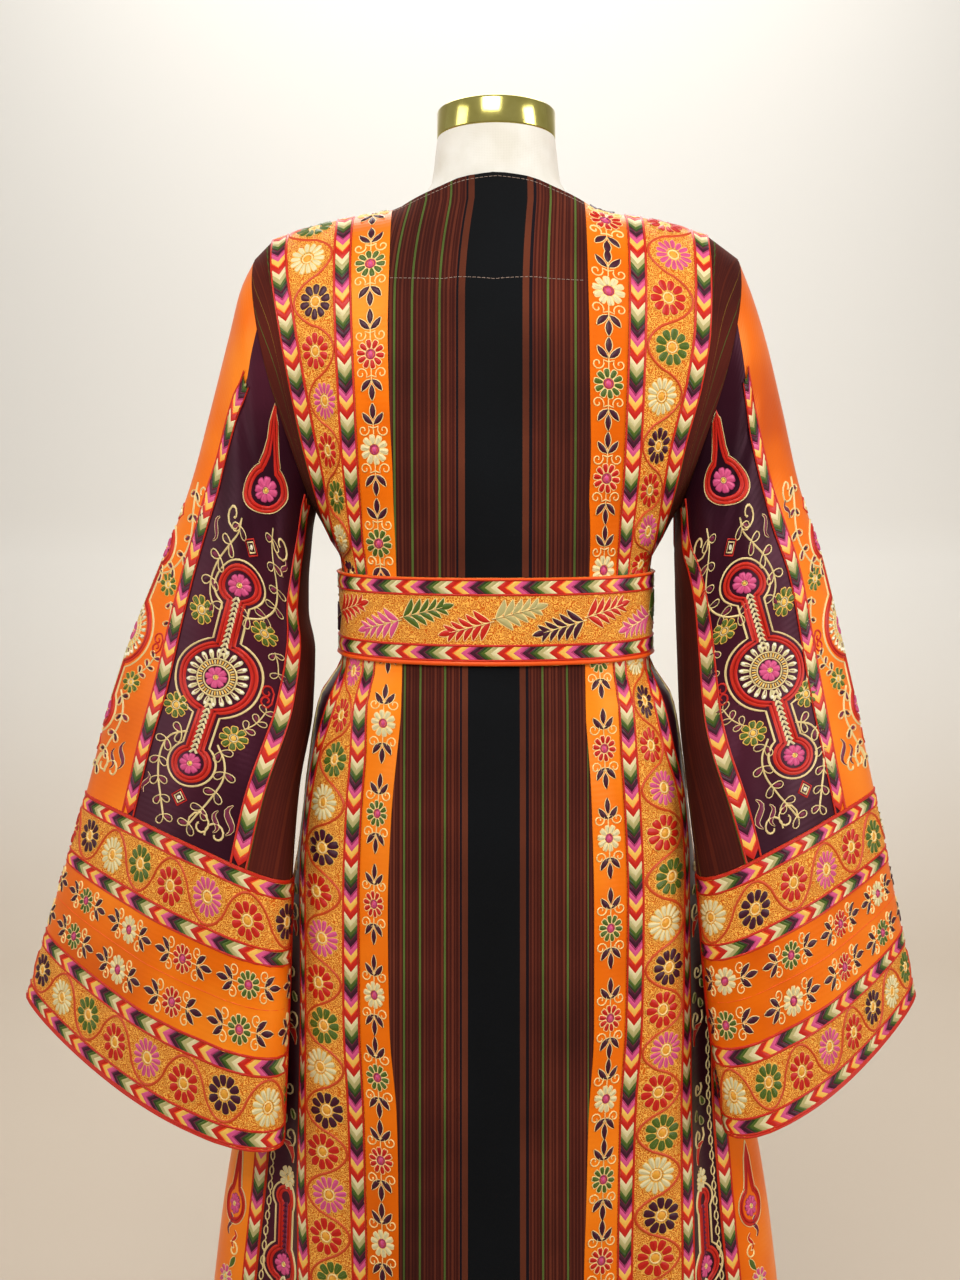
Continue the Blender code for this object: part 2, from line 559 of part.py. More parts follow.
def sleeve_seam(name):
    """A sleeve seam on the back, as a function that gives its turn at any place along it."""
    def turn(along):
        share = smooth_table(SLEEVE_SEAMS, SLEEVE_SEAM_NAMES, name, along)
        return np.arccos(1 - 2 * share)
    return turn


def mirrored(seam_turn, full_turn):
    """The front's copy of a sleeve seam, a full turn on or at minus its turn."""
    return lambda along: full_turn - seam_turn(along)


def clear_scene():
    """Remove what a new Blender file starts with."""
    for item in list(bpy.data.objects):
        bpy.data.objects.remove(item, do_unlink=True)


def material(name):
    """A Principled material from the colour table, made once."""
    made = bpy.data.materials.get(name)
    if made is None:
        red, green, blue, roughness, metallic = COLOURS[name]
        made = bpy.data.materials.new(name)
        made.use_nodes = True
        shader = made.node_tree.nodes["Principled BSDF"]
        shader.inputs["Base Color"].default_value = (red, green, blue, 1.0)
        shader.inputs["Roughness"].default_value = roughness
        shader.inputs["Metallic"].default_value = metallic
        made.diffuse_color = (red, green, blue, 1.0)
    return made


def add_object(name, mesh, colour):
    """Put a mesh in the garment's collection under its node's name, with its own material."""
    item = bpy.data.objects.new(name, mesh)
    base = material(colour)
    own = base.copy()
    own.name = name + "_" + colour
    mesh.materials.append(own)
    bpy.data.collections[COLLECTION].objects.link(item)
    return item


def grid_faces(rows, columns, ring, start=0):
    """Quads over a grid of points, row by row; a ring joins its last column to its first."""
    width = columns if ring else columns - 1
    row, column = np.meshgrid(np.arange(rows - 1), np.arange(width), indexing="ij")
    after = (column + 1) % columns
    quads = np.stack([row * columns + column, row * columns + after,
                      (row + 1) * columns + after, (row + 1) * columns + column], axis=-1)
    return quads.reshape(-1, 4) + start


def edge_faces(outer, inner):
    """Triangles that join a run of outer points to the inner points behind them.  Both pieces
    at a seam split their edges along the same diagonals, so that the gap stays even."""
    lower = np.stack([outer[:-1], inner[:-1], inner[1:]], axis=-1)
    upper = np.stack([outer[:-1], inner[1:], outer[1:]], axis=-1)
    return np.concatenate([lower, upper]).tolist()


def wall(name, points, normals, colour, ring=False, thickness=CLOTH):
    """A closed cloth wall between a grid of outer points and the same grid moved inwards."""
    rows, columns = points.shape[:2]
    count = rows * columns
    vertices = np.concatenate([points.reshape(-1, 3), (points - thickness * normals).reshape(-1, 3)])
    index = np.arange(count).reshape(rows, columns)
    faces = grid_faces(rows, columns, ring).tolist() + grid_faces(rows, columns, ring, count).tolist()
    lines = [index[0], index[-1]]
    if ring:
        lines = [np.append(line, line[0]) for line in lines]
    else:
        lines += [index[:, 0], index[:, -1]]
    for line in lines:
        faces += edge_faces(line, line + count)
    mesh = bpy.data.meshes.new(name)
    mesh.from_pydata(vertices.tolist(), [], faces)
    face_outwards(mesh)
    mesh.shade_smooth()
    mesh.set_sharp_from_angle(angle=SHARP_ANGLE)
    return add_object(name, mesh, colour)


def face_outwards(mesh):
    """Turn a closed mesh's faces to point out."""
    shape = bmesh.new()
    shape.from_mesh(mesh)
    bmesh.ops.recalc_face_normals(shape, faces=shape.faces)
    shape.to_mesh(mesh)
    shape.free()


def seam(name, front=False):
    """A seam's angle as a function of height."""
    def angle(z):
        return seam_angle(name, z, front)
    return angle


def make_body():
    """Centre panels, bands, side pieces and gores."""
    for face, front in (("back", False), ("front", True)):
        left, right = seam("panel_left", front), seam("panel_right", front)
        if front:
            start, end = right, lambda z: seam_angle("panel_left", z, True) + 2 * math.pi
        else:
            start, end = left, right
        points, normals = long_panel(start, end, PANEL_COLUMNS, front, PANEL_CROWDING)
        wall(face + "_panel", points, normals, "striped_cloth")
        for side in ("left", "right"):
            edges = [seam(kind + "_" + side, front) for kind in ("panel", "flower", "daisy")]
            for kind, inner, outer, columns, colour in (
                    ("flower", edges[0], edges[1], FLOWER_COLUMNS, "orange_satin"),
                    ("daisy", edges[1], edges[2], DAISY_COLUMNS, "daisy_ground")):
                rising = (side == "right") != front
                start, end = (inner, outer) if rising else (outer, inner)
                points, normals = long_panel(start, end, columns, front)
                wall(face + "_" + kind + "_band_" + side, points, normals, colour)


def make_sides():
    """Bodice side pieces and the two gores of each side."""
    for side, sign in (("left", -1), ("right", 1)):
        points, normals = side_panel(sign)
        wall("side_panel_" + side, points, normals, "striped_cloth")
        edges = [seam("daisy_" + side), seam("gore_" + side), seam("daisy_" + side, True)]
        for name, ends, columns, colour in (
                ("aubergine_gore_", edges[:2], AUBERGINE_COLUMNS, "aubergine_satin"),
                ("orange_gore_", edges[1:], ORANGE_COLUMNS, "orange_satin")):
            start, end = ends[::sign]
            points, normals = gore(start, end, columns)
            wall(name + side, points, normals, colour)


def make_sleeves():
    """Four long pieces and a cuff for each sleeve."""
    for side, sign, rows in (("left", -1, SLEEVE_LEFT), ("right", 1, SLEEVE_RIGHT)):
        turn_over = np.array((sign, 1, 1))
        top, under = sleeve_seam("top_" + side), sleeve_seam("under_" + side)
        front_top, front_under = mirrored(top, 0.0), mirrored(under, 2 * math.pi)
        pieces = (
            ("top", front_top, top, TOP_COLUMNS, "orange_satin"),
            ("back", top, under, BACK_COLUMNS, "aubergine_satin"),
            ("under", under, front_under, UNDER_COLUMNS, "striped_cloth"),
            ("front", front_under, mirrored(top, 2 * math.pi), BACK_COLUMNS, "aubergine_satin"),
        )
        for piece, start, end, columns, colour in pieces:
            points, normals = sleeve_panel(rows, start, end, columns, SLEEVE_ALONGS)
            wall("sleeve_" + piece + "_" + side, points * turn_over, normals * turn_over, colour)
        turn, along = np.meshgrid(sleeve_turns(CUFF_START, side), np.array(CUFF_ALONGS))
        points, normals = sleeve_grid(rows, turn, along)
        wall("cuff_" + side, points * turn_over, normals * turn_over, "daisy_ground", ring=True,
             thickness=CUFF_THICKNESS)


def make_belt():
    """The embroidered belt: a flat ring round the waist."""
    turn = np.linspace(-math.pi, math.pi, BELT_COLUMNS + 1)[:-1]
    degrees = np.abs(np.degrees(turn))
    low = smooth_table(BELT_ROWS, BELT_NAMES, "low", degrees)
    high = smooth_table(BELT_ROWS, BELT_NAMES, "high", degrees)
    share = np.linspace(0.0, 1.0, BELT_ROW_COUNT + 1)[:, None]
    z = low + (high - low) * share
    angle = np.repeat(turn[None, :], len(share), axis=0)
    normals = outward(body_point, angle, z)
    points = body_point(angle, z) + normals * (BELT_CLEARANCE + BELT_THICKNESS)
    points[..., 2] = z
    wall("belt", points, normals, "daisy_ground", ring=True, thickness=BELT_THICKNESS)


def form_ring(z):
    """One level ring of the dress form's torso, shoulders or neck."""
    turn = np.linspace(0.0, 2 * math.pi, FORM_COLUMNS + 1)[:-1]
    if z > FORM_TOP_ROWS[-1][0]:
        radius = smooth_table(NECK_ROWS, NECK_NAMES, "radius", z)
        return np.stack([radius * np.sin(turn), NECK_MIDDLE - radius * np.cos(turn),
                         np.full_like(turn, z)], axis=-1)
    if z <= CHEST:
        wide = smooth_table(FORM_ROWS, FORM_NAMES, "half_width", z)
        deep = np.where(np.cos(turn) > 0, smooth_table(FORM_ROWS, FORM_NAMES, "back_depth", z),
                        smooth_table(FORM_ROWS, FORM_NAMES, "front_depth", z))
        return np.stack([wide * np.sin(turn), -deep * np.cos(turn), np.full_like(turn, z)], axis=-1)
    wide = smooth_table(FORM_TOP_ROWS, FORM_TOP_NAMES, "half_width", z)
    x = wide * np.sin(turn)
    front = np.cos(turn) < 0
    under = np.where(front, body_point(angle_at(x, z, True), np.full_like(x, z + FORM_RISE))[:, 1],
                     -body_point(angle_at(x, z, False), np.full_like(x, z + FORM_RISE))[:, 1])
    full = np.maximum(under - FORM_INSET, FORM_RIDGE)
    rounded = (1 - np.abs(np.sin(turn)) ** FORM_CORNER) ** (1 / FORM_CORNER)
    y = np.where(front, 1, -1) * full * rounded
    return np.stack([x, y, np.full_like(turn, z)], axis=-1)


def make_form():
    """Torso and neck as one loft, the gold cap on the neck, and the stand below."""
    heights = ([row[0] for row in FORM_ROWS] + [row[0] for row in FORM_TOP_ROWS[1:]]
               + [row[0] for row in NECK_ROWS])
    rings = np.stack([form_ring(z) for z in heights])
    tilt = math.tan(CAP_TILT)
    rings[-1, :, 2] -= (rings[-1, :, 1] - NECK_MIDDLE) * tilt
    count = FORM_COLUMNS
    faces = grid_faces(len(heights), count, ring=True).tolist()
    faces.append(list(range(count))[::-1])
    faces.append(list(range((len(heights) - 1) * count, len(heights) * count)))
    mesh = bpy.data.meshes.new("form_torso")
    mesh.from_pydata(rings.reshape(-1, 3).tolist(), [], faces)
    face_outwards(mesh)
    mesh.shade_smooth()
    mesh.set_sharp_from_angle(angle=SHARP_ANGLE)
    add_object("form_torso", mesh, "linen")
    cap = turned("form_neck_cap", "gold_metal", (
        (0.0, CAP_HEIGHT + CAP_CROWN),
        (CAP_RADIUS * 0.6, CAP_HEIGHT + CAP_CROWN * 0.7),
        (CAP_RADIUS - CAP_EDGE, CAP_HEIGHT),
        (CAP_RADIUS, CAP_HEIGHT - CAP_EDGE),
        (CAP_RADIUS, 0.0),
        (0.0, 0.0)))
    cap.location = (0.0, NECK_MIDDLE, CAP_BASE)
    cap.rotation_euler = (-CAP_TILT, 0.0, 0.0)
    turned("form_stand", "stand_metal", (
        (0.0, POLE_TOP),
        (POLE_RADIUS, POLE_TOP),
        (POLE_RADIUS, FOOT_HEIGHT + FOOT_SLOPE + POLE_COLLAR),
        (POLE_RADIUS * 2, FOOT_HEIGHT + FOOT_SLOPE),
        (FOOT_RADIUS - FOOT_SLOPE, FOOT_HEIGHT),
        (FOOT_RADIUS, FOOT_HEIGHT - FOOT_SLOPE),
        (FOOT_RADIUS, 0.0),
        (0.0, 0.0)))


def turned(name, colour, profile):
    """A turned piece: a profile in the XZ plane, top to bottom, with a Screw modifier."""
    mesh = bpy.data.meshes.new(name)
    mesh.from_pydata([(radius, 0.0, height) for radius, height in profile],
                     [(i, i + 1) for i in range(len(profile) - 1)], [])
    item = add_object(name, mesh, colour)
    screw = item.modifiers.new("turn", "SCREW")
    screw.steps = TURN_STEPS
    screw.render_steps = TURN_STEPS
    screw.use_merge_vertices = True
    screw.merge_threshold = 1e-5
    screw.use_smooth_shade = True
    return item


clear_scene()
collection = bpy.data.collections.new(COLLECTION)
bpy.context.scene.collection.children.link(collection)
make_form()
make_body()
make_sides()
make_sleeves()
make_belt()
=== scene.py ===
# %% [markdown]
# # An embroidered Palestinian thobe on a dress form
# A festive dress of striped velvet, orange satin and aubergine satin, worked all over with silk
# threads, shown from behind on a linen dress form. Everything is in metres, +Z up. The back of
# the dress faces -Y, and +X is its right-hand side seen from behind.
#
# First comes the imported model: its solids give every piece its place.

# %% Load the solids
import math

import bmesh
import bpy
import numpy as np
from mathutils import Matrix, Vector


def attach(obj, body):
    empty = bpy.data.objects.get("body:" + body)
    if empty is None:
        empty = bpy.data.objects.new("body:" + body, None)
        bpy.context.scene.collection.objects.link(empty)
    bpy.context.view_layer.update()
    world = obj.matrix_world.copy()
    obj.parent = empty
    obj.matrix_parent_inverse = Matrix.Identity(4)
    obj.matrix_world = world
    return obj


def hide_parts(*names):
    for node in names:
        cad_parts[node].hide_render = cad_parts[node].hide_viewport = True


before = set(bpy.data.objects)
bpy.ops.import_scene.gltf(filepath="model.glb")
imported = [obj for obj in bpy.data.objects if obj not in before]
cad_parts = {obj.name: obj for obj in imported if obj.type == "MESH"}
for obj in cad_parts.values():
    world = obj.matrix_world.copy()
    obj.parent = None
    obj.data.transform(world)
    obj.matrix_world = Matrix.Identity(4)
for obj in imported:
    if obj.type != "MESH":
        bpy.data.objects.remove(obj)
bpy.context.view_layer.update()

# %% [markdown]
# ## Camera
# The dress is looked at square on to its back, from 1.65 m away at the height of its chest and a
# little downwards, through an ordinary lens.

# %% Camera
CAMERA_AT = (-0.015, -1.650, 1.200)
CAMERA_TILT = 6.5            # degrees down
PIXELS_HIGH = 1280
FOCAL_PIXELS = 1742
SENSOR = 36.0

camera = bpy.data.cameras.new("camera")
camera.sensor_fit = "VERTICAL"
camera.sensor_height = SENSOR
camera.lens = FOCAL_PIXELS * SENSOR / PIXELS_HIGH
camera_object = bpy.data.objects.new("camera", camera)
camera_object.location = CAMERA_AT
camera_object.rotation_euler = (math.radians(90 - CAMERA_TILT), 0.0, 0.0)
bpy.context.scene.collection.objects.link(camera_object)
bpy.context.scene.camera = camera_object
print("lens:", round(camera.lens, 2), "mm")

# %% [markdown]
# ## The dress as sections
# A garment on a form is a soft tube. It could be simulated, but its outline is known, so it is
# worked out from section tables, the same as its solids: half sizes at each height, the shoulder
# line, the necklines, the armhole and the seams. A smooth curve through each column of a table
# gives the size anywhere between two rows.

# %% Section tables
CLOTH = 0.0015            # thickness of the cloth
SEAM_GAP = 0.0003         # gap between two pieces at a seam
CHEST = 1.200             # above this the body leans in to the shoulder line
SHOULDER_POWER = 2.4      # how squarely the shoulder rolls over
HEM = 0.020               # these five are heights over the floor
WAIST_SEAM = 1.040
ABOVE_BELT = 1.085
ARMPIT = 1.135
SHOULDER_TIP = 1.367
NECK_POINT = 0.0915       # where the neckline meets the shoulder line, from the middle


class Table:
    """Rows of sizes with named columns, in metres. A column is read at any place of the first
    one, its key, through a smooth curve that never overshoots: a cubic between each two rows,
    whose slopes are the harmonic mean of the slopes beside them."""

    def __init__(self, names, *rows):
        self.names, self.rows = names.split(), np.array(rows, dtype=float)

    def __call__(self, name, at):
        keys, values = self.rows[:, 0], self.rows[:, self.names.index(name)]
        at = np.clip(np.asarray(at, dtype=float), keys[0], keys[-1])
        step = np.diff(keys)
        slope = np.diff(values) / step
        same_way = slope[:-1] * slope[1:] > 0
        before = np.where(same_way, slope[:-1], 1.0)
        after = np.where(same_way, slope[1:], 1.0)
        weight_before = 2 * step[1:] + step[:-1]
        weight_after = step[1:] + 2 * step[:-1]
        mean = (weight_before + weight_after) / (weight_before / before + weight_after / after)
        tangent = np.concatenate(([slope[0]], np.where(same_way, mean, 0.0), [slope[-1]]))
        i = np.clip(np.searchsorted(keys, at, side="right") - 1, 0, len(step) - 1)
        t = (at - keys[i]) / step[i]
        return (values[i] * (1 + 2 * t) * (1 - t) ** 2
                + values[i + 1] * t * t * (3 - 2 * t)
                + step[i] * (tangent[i] * t * (1 - t) ** 2 + tangent[i + 1] * t * t * (t - 1)))


BODY = Table(
    "height half_width back_depth front_depth roundness",
    (0.020, 0.3180, 0.235, 0.235, 2.0),
    (0.370, 0.2715, 0.198, 0.200, 2.1),
    (0.520, 0.2490, 0.176, 0.178, 2.2),
    (0.680, 0.2160, 0.156, 0.160, 2.4),
    (0.790, 0.1925, 0.143, 0.146, 2.6),
    (0.900, 0.1770, 0.129, 0.130, 2.6),
    (0.960, 0.1665, 0.119, 0.117, 2.5),
    (0.998, 0.1445, 0.107, 0.104, 2.4),
    (1.090, 0.1445, 0.106, 0.105, 2.4),
    (1.107, 0.1550, 0.107, 0.112, 2.4),
    (1.135, 0.1700, 0.108, 0.118, 2.3),
    (1.160, 0.1900, 0.108, 0.121, 2.3),
    (1.200, 0.2220, 0.106, 0.122, 2.3),
    (1.260, 0.2720, 0.102, 0.114, 2.3),
    (1.320, 0.3450, 0.098, 0.102, 2.3),
    (1.370, 0.4300, 0.096, 0.094, 2.3),
    (1.480, 0.6000, 0.094, 0.088, 2.3),
)
SHOULDER = Table(
    "lateral height",
    (0.0000, 1.4770),
    (0.0550, 1.4470),
    (0.0915, 1.4135),
    (0.1450, 1.4033),
    (0.1880, 1.3910),
    (0.2050, 1.3850),
    (0.2125, 1.3800),
    (0.2224, 1.3670),
    (0.2320, 1.3300),
)
NECKLINE = Table(
    "lateral back front",
    (0.0000, 1.4400, 1.3150),
    (0.0300, 1.4365, 1.3470),
    (0.0550, 1.4265, 1.3740),
    (0.0915, 1.4135, 1.4135),
)
ARMHOLE = Table(
    "height lateral",
    (1.135, 0.1700),
    (1.150, 0.1735),
    (1.180, 0.1820),
    (1.220, 0.1945),
    (1.260, 0.2060),
    (1.300, 0.2145),
    (1.340, 0.2205),
    (1.367, 0.2224),
)
SEAMS = Table(
    "height panel_left flower_left daisy_left gore_left "
    "panel_right flower_right daisy_right gore_right",
    (0.020, 0.0850, 0.1160, 0.1850, 0.2650, 0.0770, 0.1080, 0.1850, 0.2620),
    (0.450, 0.0870, 0.1175, 0.1850, 0.2274, 0.0773, 0.1089, 0.1830, 0.2230),
    (0.530, 0.0875, 0.1200, 0.1895, 0.2206, 0.0795, 0.1107, 0.1826, 0.2170),
    (0.600, 0.0890, 0.1225, 0.1900, 0.2160, 0.0815, 0.1130, 0.1820, 0.2120),
    (0.680, 0.0960, 0.1270, 0.1890, 0.2080, 0.0867, 0.1194, 0.1836, 0.2060),
    (0.790, 0.0978, 0.1275, 0.1860, 0.1922, 0.0868, 0.1211, 0.1830, 0.1922),
    (0.870, 0.0945, 0.1250, 0.1770, 0.1812, 0.0850, 0.1185, 0.1760, 0.1812),
    (0.920, 0.0900, 0.1210, 0.1675, 0.1735, 0.0830, 0.1150, 0.1640, 0.1735),
    (0.960, 0.0870, 0.1180, 0.1560, 0.1660, 0.0810, 0.1110, 0.1545, 0.1660),
    (1.000, 0.0850, 0.1100, 0.1420, 0.1445, 0.0795, 0.1053, 0.1420, 0.1445),
    (1.040, 0.0870, 0.1130, 0.1420, 0.1445, 0.0810, 0.1060, 0.1420, 0.1445),
    (1.083, 0.0900, 0.1170, 0.1425, 0.1445, 0.0830, 0.1080, 0.1425, 0.1445),
    (1.107, 0.0905, 0.1200, 0.1520, 0.1550, 0.0833, 0.1090, 0.1510, 0.1550),
    (1.130, 0.0915, 0.1210, 0.1600, 0.1640, 0.0835, 0.1100, 0.1570, 0.1640),
    (1.165, 0.0930, 0.1225, 0.1680, 0.1770, 0.0833, 0.1120, 0.1640, 0.1770),
    (1.200, 0.0940, 0.1240, 0.1760, 0.1880, 0.0830, 0.1135, 0.1710, 0.1880),
    (1.250, 0.0955, 0.1260, 0.1860, 0.2030, 0.0820, 0.1150, 0.1840, 0.2030),
    (1.300, 0.0965, 0.1280, 0.1950, 0.2145, 0.0815, 0.1165, 0.1915, 0.2145),
    (1.370, 0.0955, 0.1300, 0.2050, 0.2224, 0.0805, 0.1175, 0.1935, 0.2224),
    (1.480, 0.0950, 0.1300, 0.2080, 0.2224, 0.0800, 0.1175, 0.1950, 0.2224),
)

# %% [markdown]
# ## Folds and creases
# The skirt is cut wide at the hem and narrow at the belt, so it hangs in long soft folds. Each is
# a bell curve across the skirt that grows from the belt down. Short creases, where the belt pulls
# the cloth in and where the sleeve bends, are smaller bells, uneven in length, depth and place.

# %% Folds
FOLD_ROWS = (             # angle at the belt, angle at the hem, half width, lift, start, full
    (-52, -34, 6, -0.006, 0.998, 0.90),
    (50, 32, 6, -0.006, 0.998, 0.90),
    (-84, -52, 7, -0.016, 0.90, 0.55),
    (84, 53, 7, -0.016, 0.90, 0.55),
    (-100, -72, 9, 0.010, 0.80, 0.45),
    (100, 73, 9, 0.010, 0.80, 0.45),
    (-12, -10, 9, 0.004, 0.80, 0.40),
    (14, 10, 9, 0.004, 0.75, 0.35),
    (-112, -100, 8, -0.014, 0.95, 0.50),
    (112, 100, 8, -0.014, 0.95, 0.50),
    (-128, -122, 9, 0.012, 0.95, 0.45),
    (128, 122, 9, 0.012, 0.95, 0.45),
    (-141, -140, 8, -0.012, 0.98, 0.50),
    (141, 140, 8, -0.012, 0.98, 0.50),
    (-168, -166, 9, 0.005, 0.85, 0.40),
    (168, 166, 9, 0.005, 0.85, 0.40),
)
FOLD_SWEEP = 0.6          # power by which a fold moves round to its place at the hem
BODY_CREASES = (          # angle and height of the middle, half width, half length, lean, lift
    (-24, 0.955, 3.0, 0.035, 40, -0.0022),
    (-9, 0.945, 2.5, 0.045, 20, -0.0018),
    (6, 0.950, 3.0, 0.040, -15, -0.0022),
    (21, 0.948, 2.6, 0.050, -35, -0.0020),
    (37, 0.940, 3.4, 0.055, -60, -0.0026),
    (-40, 0.940, 3.2, 0.050, 60, -0.0024),
    (-62, 0.930, 4.0, 0.060, 60, -0.0028),
    (64, 0.925, 4.0, 0.065, -60, -0.0028),
    (-16, 1.115, 2.8, 0.030, -40, -0.0016),
    (3, 1.118, 3.0, 0.026, 0, -0.0012),
    (18, 1.112, 2.4, 0.032, 40, -0.0016),
    (-38, 1.140, 3.6, 0.050, -110, -0.0022),
    (39, 1.145, 3.4, 0.052, 110, -0.0022),
    (-20, 1.255, 5.0, 0.045, 70, -0.0016),
    (22, 1.270, 4.6, 0.050, -80, -0.0014),
    (-6, 0.640, 3.0, 0.120, 10, -0.0020),
    (12, 0.520, 3.4, 0.160, -6, -0.0024),
    (-18, 0.420, 3.2, 0.180, 8, -0.0024),
    (24, 0.330, 3.0, 0.150, -8, -0.0022),
    (-2, 0.250, 3.6, 0.140, 4, -0.0024),
    (-28, 0.200, 3.0, 0.130, 6, -0.0024),
    (33, 0.180, 3.0, 0.120, -8, -0.0022),
    (-150, 0.940, 3.2, 0.050, -50, -0.0022),
    (-170, 0.948, 2.8, 0.042, -15, -0.0018),
    (172, 0.945, 3.0, 0.048, 20, -0.0020),
    (152, 0.938, 3.4, 0.052, 50, -0.0024),
    (-160, 0.420, 3.2, 0.170, -6, -0.0022),
    (165, 0.300, 3.2, 0.160, 6, -0.0022),
    (-172, 1.120, 2.8, 0.030, 30, -0.0014),
    (166, 1.130, 3.0, 0.034, -40, -0.0014),
)


def shoulder_height(x):
    """Height of the shoulder line this far from the middle."""
    return SHOULDER("height", np.abs(x))


def shoulder_roll(x, z):
    """1 below the chest, falling to 0 on the shoulder line: a quarter of a superellipse."""
    share = np.clip((z - CHEST) / (shoulder_height(x) - CHEST), 0.0, 1.0)
    return (1 - share ** SHOULDER_POWER) ** (1 / SHOULDER_POWER)


def fold_lift(angle, z):
    """Sum of the skirt's long folds: bell curves across, growing from the belt down."""
    degrees = np.degrees(angle)
    lift = np.zeros(np.broadcast(degrees, z).shape)
    for top, hem, spread, height, start, full in FOLD_ROWS:
        down = np.clip((WAIST_SEAM - z) / (WAIST_SEAM - HEM), 0.0, 1.0)
        middle = top + (hem - top) * down ** FOLD_SWEEP
        grow = np.clip((start - z) / (start - full), 0.0, 1.0)
        grow = grow * grow * (3 - 2 * grow)
        off = (degrees - middle + 180) % 360 - 180
        lift = lift + height * grow * np.exp(-(off / spread) ** 2)
    return lift


def crease_lift(rows, across, along, full_turn):
    """Sum of short creases: bells in both directions, each leaning by so much across per metre
    (or share) along. across wraps at a full turn."""
    lift = np.zeros(np.broadcast(across, along).shape)
    for middle, place, half_width, half_length, lean, height in rows:
        off = (across - middle - lean * (along - place) + full_turn / 2) % full_turn - full_turn / 2
        lift = lift + height * np.exp(-(off / half_width) ** 2
                                      - ((along - place) / half_length) ** 2)
    return lift


def body_point(angle, z):
    """The dress's outer face: a superellipse section at height z, read at an angle round from the
    middle of the back, with folds and creases, rolled over to the shoulder line."""
    wide = BODY("half_width", z)
    power = BODY("roundness", z)
    deep = np.where(np.cos(angle) > 0, BODY("back_depth", z), BODY("front_depth", z))
    across = np.abs(np.sin(angle)) / wide
    along = np.abs(np.cos(angle)) / deep
    radius = ((across ** power + along ** power) ** (-1 / power) + fold_lift(angle, z)
              + crease_lift(BODY_CREASES, np.degrees(angle), z, 360.0))
    x = radius * np.sin(angle)
    y = -radius * np.cos(angle) * shoulder_roll(x, z)
    return np.stack(np.broadcast_arrays(x, y, z), axis=-1)


SMALL = 1e-4              # a slope is taken over this step to both sides


def unit(vectors):
    """Vectors made one long."""
    return vectors / np.linalg.norm(vectors, axis=-1, keepdims=True)


def outward(surface, first, second):
    """Unit normals of a surface given by two parameters, from its slopes."""
    return unit(np.cross(surface(first + SMALL, second) - surface(first - SMALL, second),
                         surface(first, second + SMALL) - surface(first, second - SMALL)))


def angle_at(lateral, z, front=False):
    """Angle round the body of the point this far from the middle at height z."""
    wide = BODY("half_width", z)
    power = BODY("roundness", z)
    deep = BODY("front_depth" if front else "back_depth", z)
    share = np.clip(np.abs(lateral) / wide, 0.0, 0.99999)
    back = np.arctan2(np.abs(lateral), deep * (1 - share ** power) ** (1 / power))
    return np.sign(lateral) * (math.pi - back if front else back)


def seam_angle(name, z, front=False):
    """Signed angle of a named seam at height z; left seams are minus."""
    sign = -1.0 if name.endswith("left") else 1.0
    return angle_at(sign * SEAMS(name, z), z, front)


def top_edge(x, front=False):
    """Height of the neckline near the neck and of the shoulder line beyond it."""
    neck = NECKLINE("front" if front else "back", np.abs(x))
    return np.where(np.abs(x) < NECK_POINT, neck, shoulder_height(x))


def inset_angle(angle, z, distance):
    """Moves an angle along the section by a distance in metres."""
    speed = np.linalg.norm(body_point(angle + SMALL, z) - body_point(angle - SMALL, z), axis=-1)
    return angle + distance * 2 * SMALL / speed


print("waist:", round(float(BODY("half_width", WAIST_SEAM)) * 2, 3), "m across")

# %% [markdown]
# ## Cut pieces as grids
# Each piece of cloth is a grid of points: rows along it, columns across it. Its columns are
# spaced evenly by real distance, so a place on the flat cloth, so many metres along and across,
# is a place on the grid. Stripes and embroidery are laid out flat in metres and then carried
# onto the dress through this grid, as they are worked on the real cloth before it is sewn up.

# %% The class of a cut piece
ROW_STEP = 0.013          # between two rows of a fine cloth grid
BODY_ROWS_Z = np.linspace(HEM, CHEST, int((CHEST - HEM) / ROW_STEP) + 1)
UPPER_ROWS = 18           # from the chest to the top edge


def run_of(points, axis=0):
    """Distances from the first point, along lines of points that run along an axis."""
    steps = np.linalg.norm(np.diff(points, axis=axis), axis=-1)
    return np.insert(np.cumsum(steps, axis=axis), 0, 0.0, axis=axis)


class Cut:
    """A cut piece: outer points and normals on a grid, with the distances along and across it."""

    def __init__(self, points, normals, ring=False):
        self.points, self.normals, self.ring = points, normals, ring
        closed = np.concatenate([points, points[:, :1]], axis=1) if ring else points
        self.across = run_of(closed, 1)
        self.width = self.across[:, -1]
        self.along = run_of(points[:, points.shape[1] // 2])
        self.length = float(self.along[-1])
        half = len(points) // 2
        self.profile = self.across[half] / self.width[half]

    def width_at(self, along):
        """Width of the piece at a distance along it."""
        return np.interp(along, self.along, self.width)

    def at(self, along, share):
        """Outer point and normal at a distance along the piece and a share of its width: the
        share gives a column by real distance, and the four grid points about it are weighed."""
        rows, columns = self.points.shape[:2]
        row = np.interp(along, self.along, np.arange(rows))
        i = np.clip(row.astype(int), 0, rows - 2)
        f = (row - i)[..., None]
        whole = np.floor(share) if self.ring else 0.0
        column = np.interp(share - whole, self.profile,
                           np.arange(len(self.profile))) + whole * columns
        j = np.floor(column).astype(int)
        if not self.ring:
            j = np.clip(j, 0, columns - 2)
        g = (column - j)[..., None]
        j, after = j % columns, (j + 1) % columns
        point, normal = ((grid[i, j] * (1 - g) + grid[i, after] * g) * (1 - f)
                         + (grid[i + 1, j] * (1 - g) + grid[i + 1, after] * g) * f
                         for grid in (self.points, self.normals))
        return point, unit(normal)


def even_shares(surface, shares):
    """Shares that divide each row of a surface evenly by distance. surface(shares) gives points
    for a grid of shares; the distances run along each row."""
    run = run_of(surface(shares), 1)
    run /= run[:, -1:]
    wanted = np.linspace(0.0, 1.0, shares.shape[1])
    return np.stack([np.interp(wanted, *row) for row in zip(run, shares)])


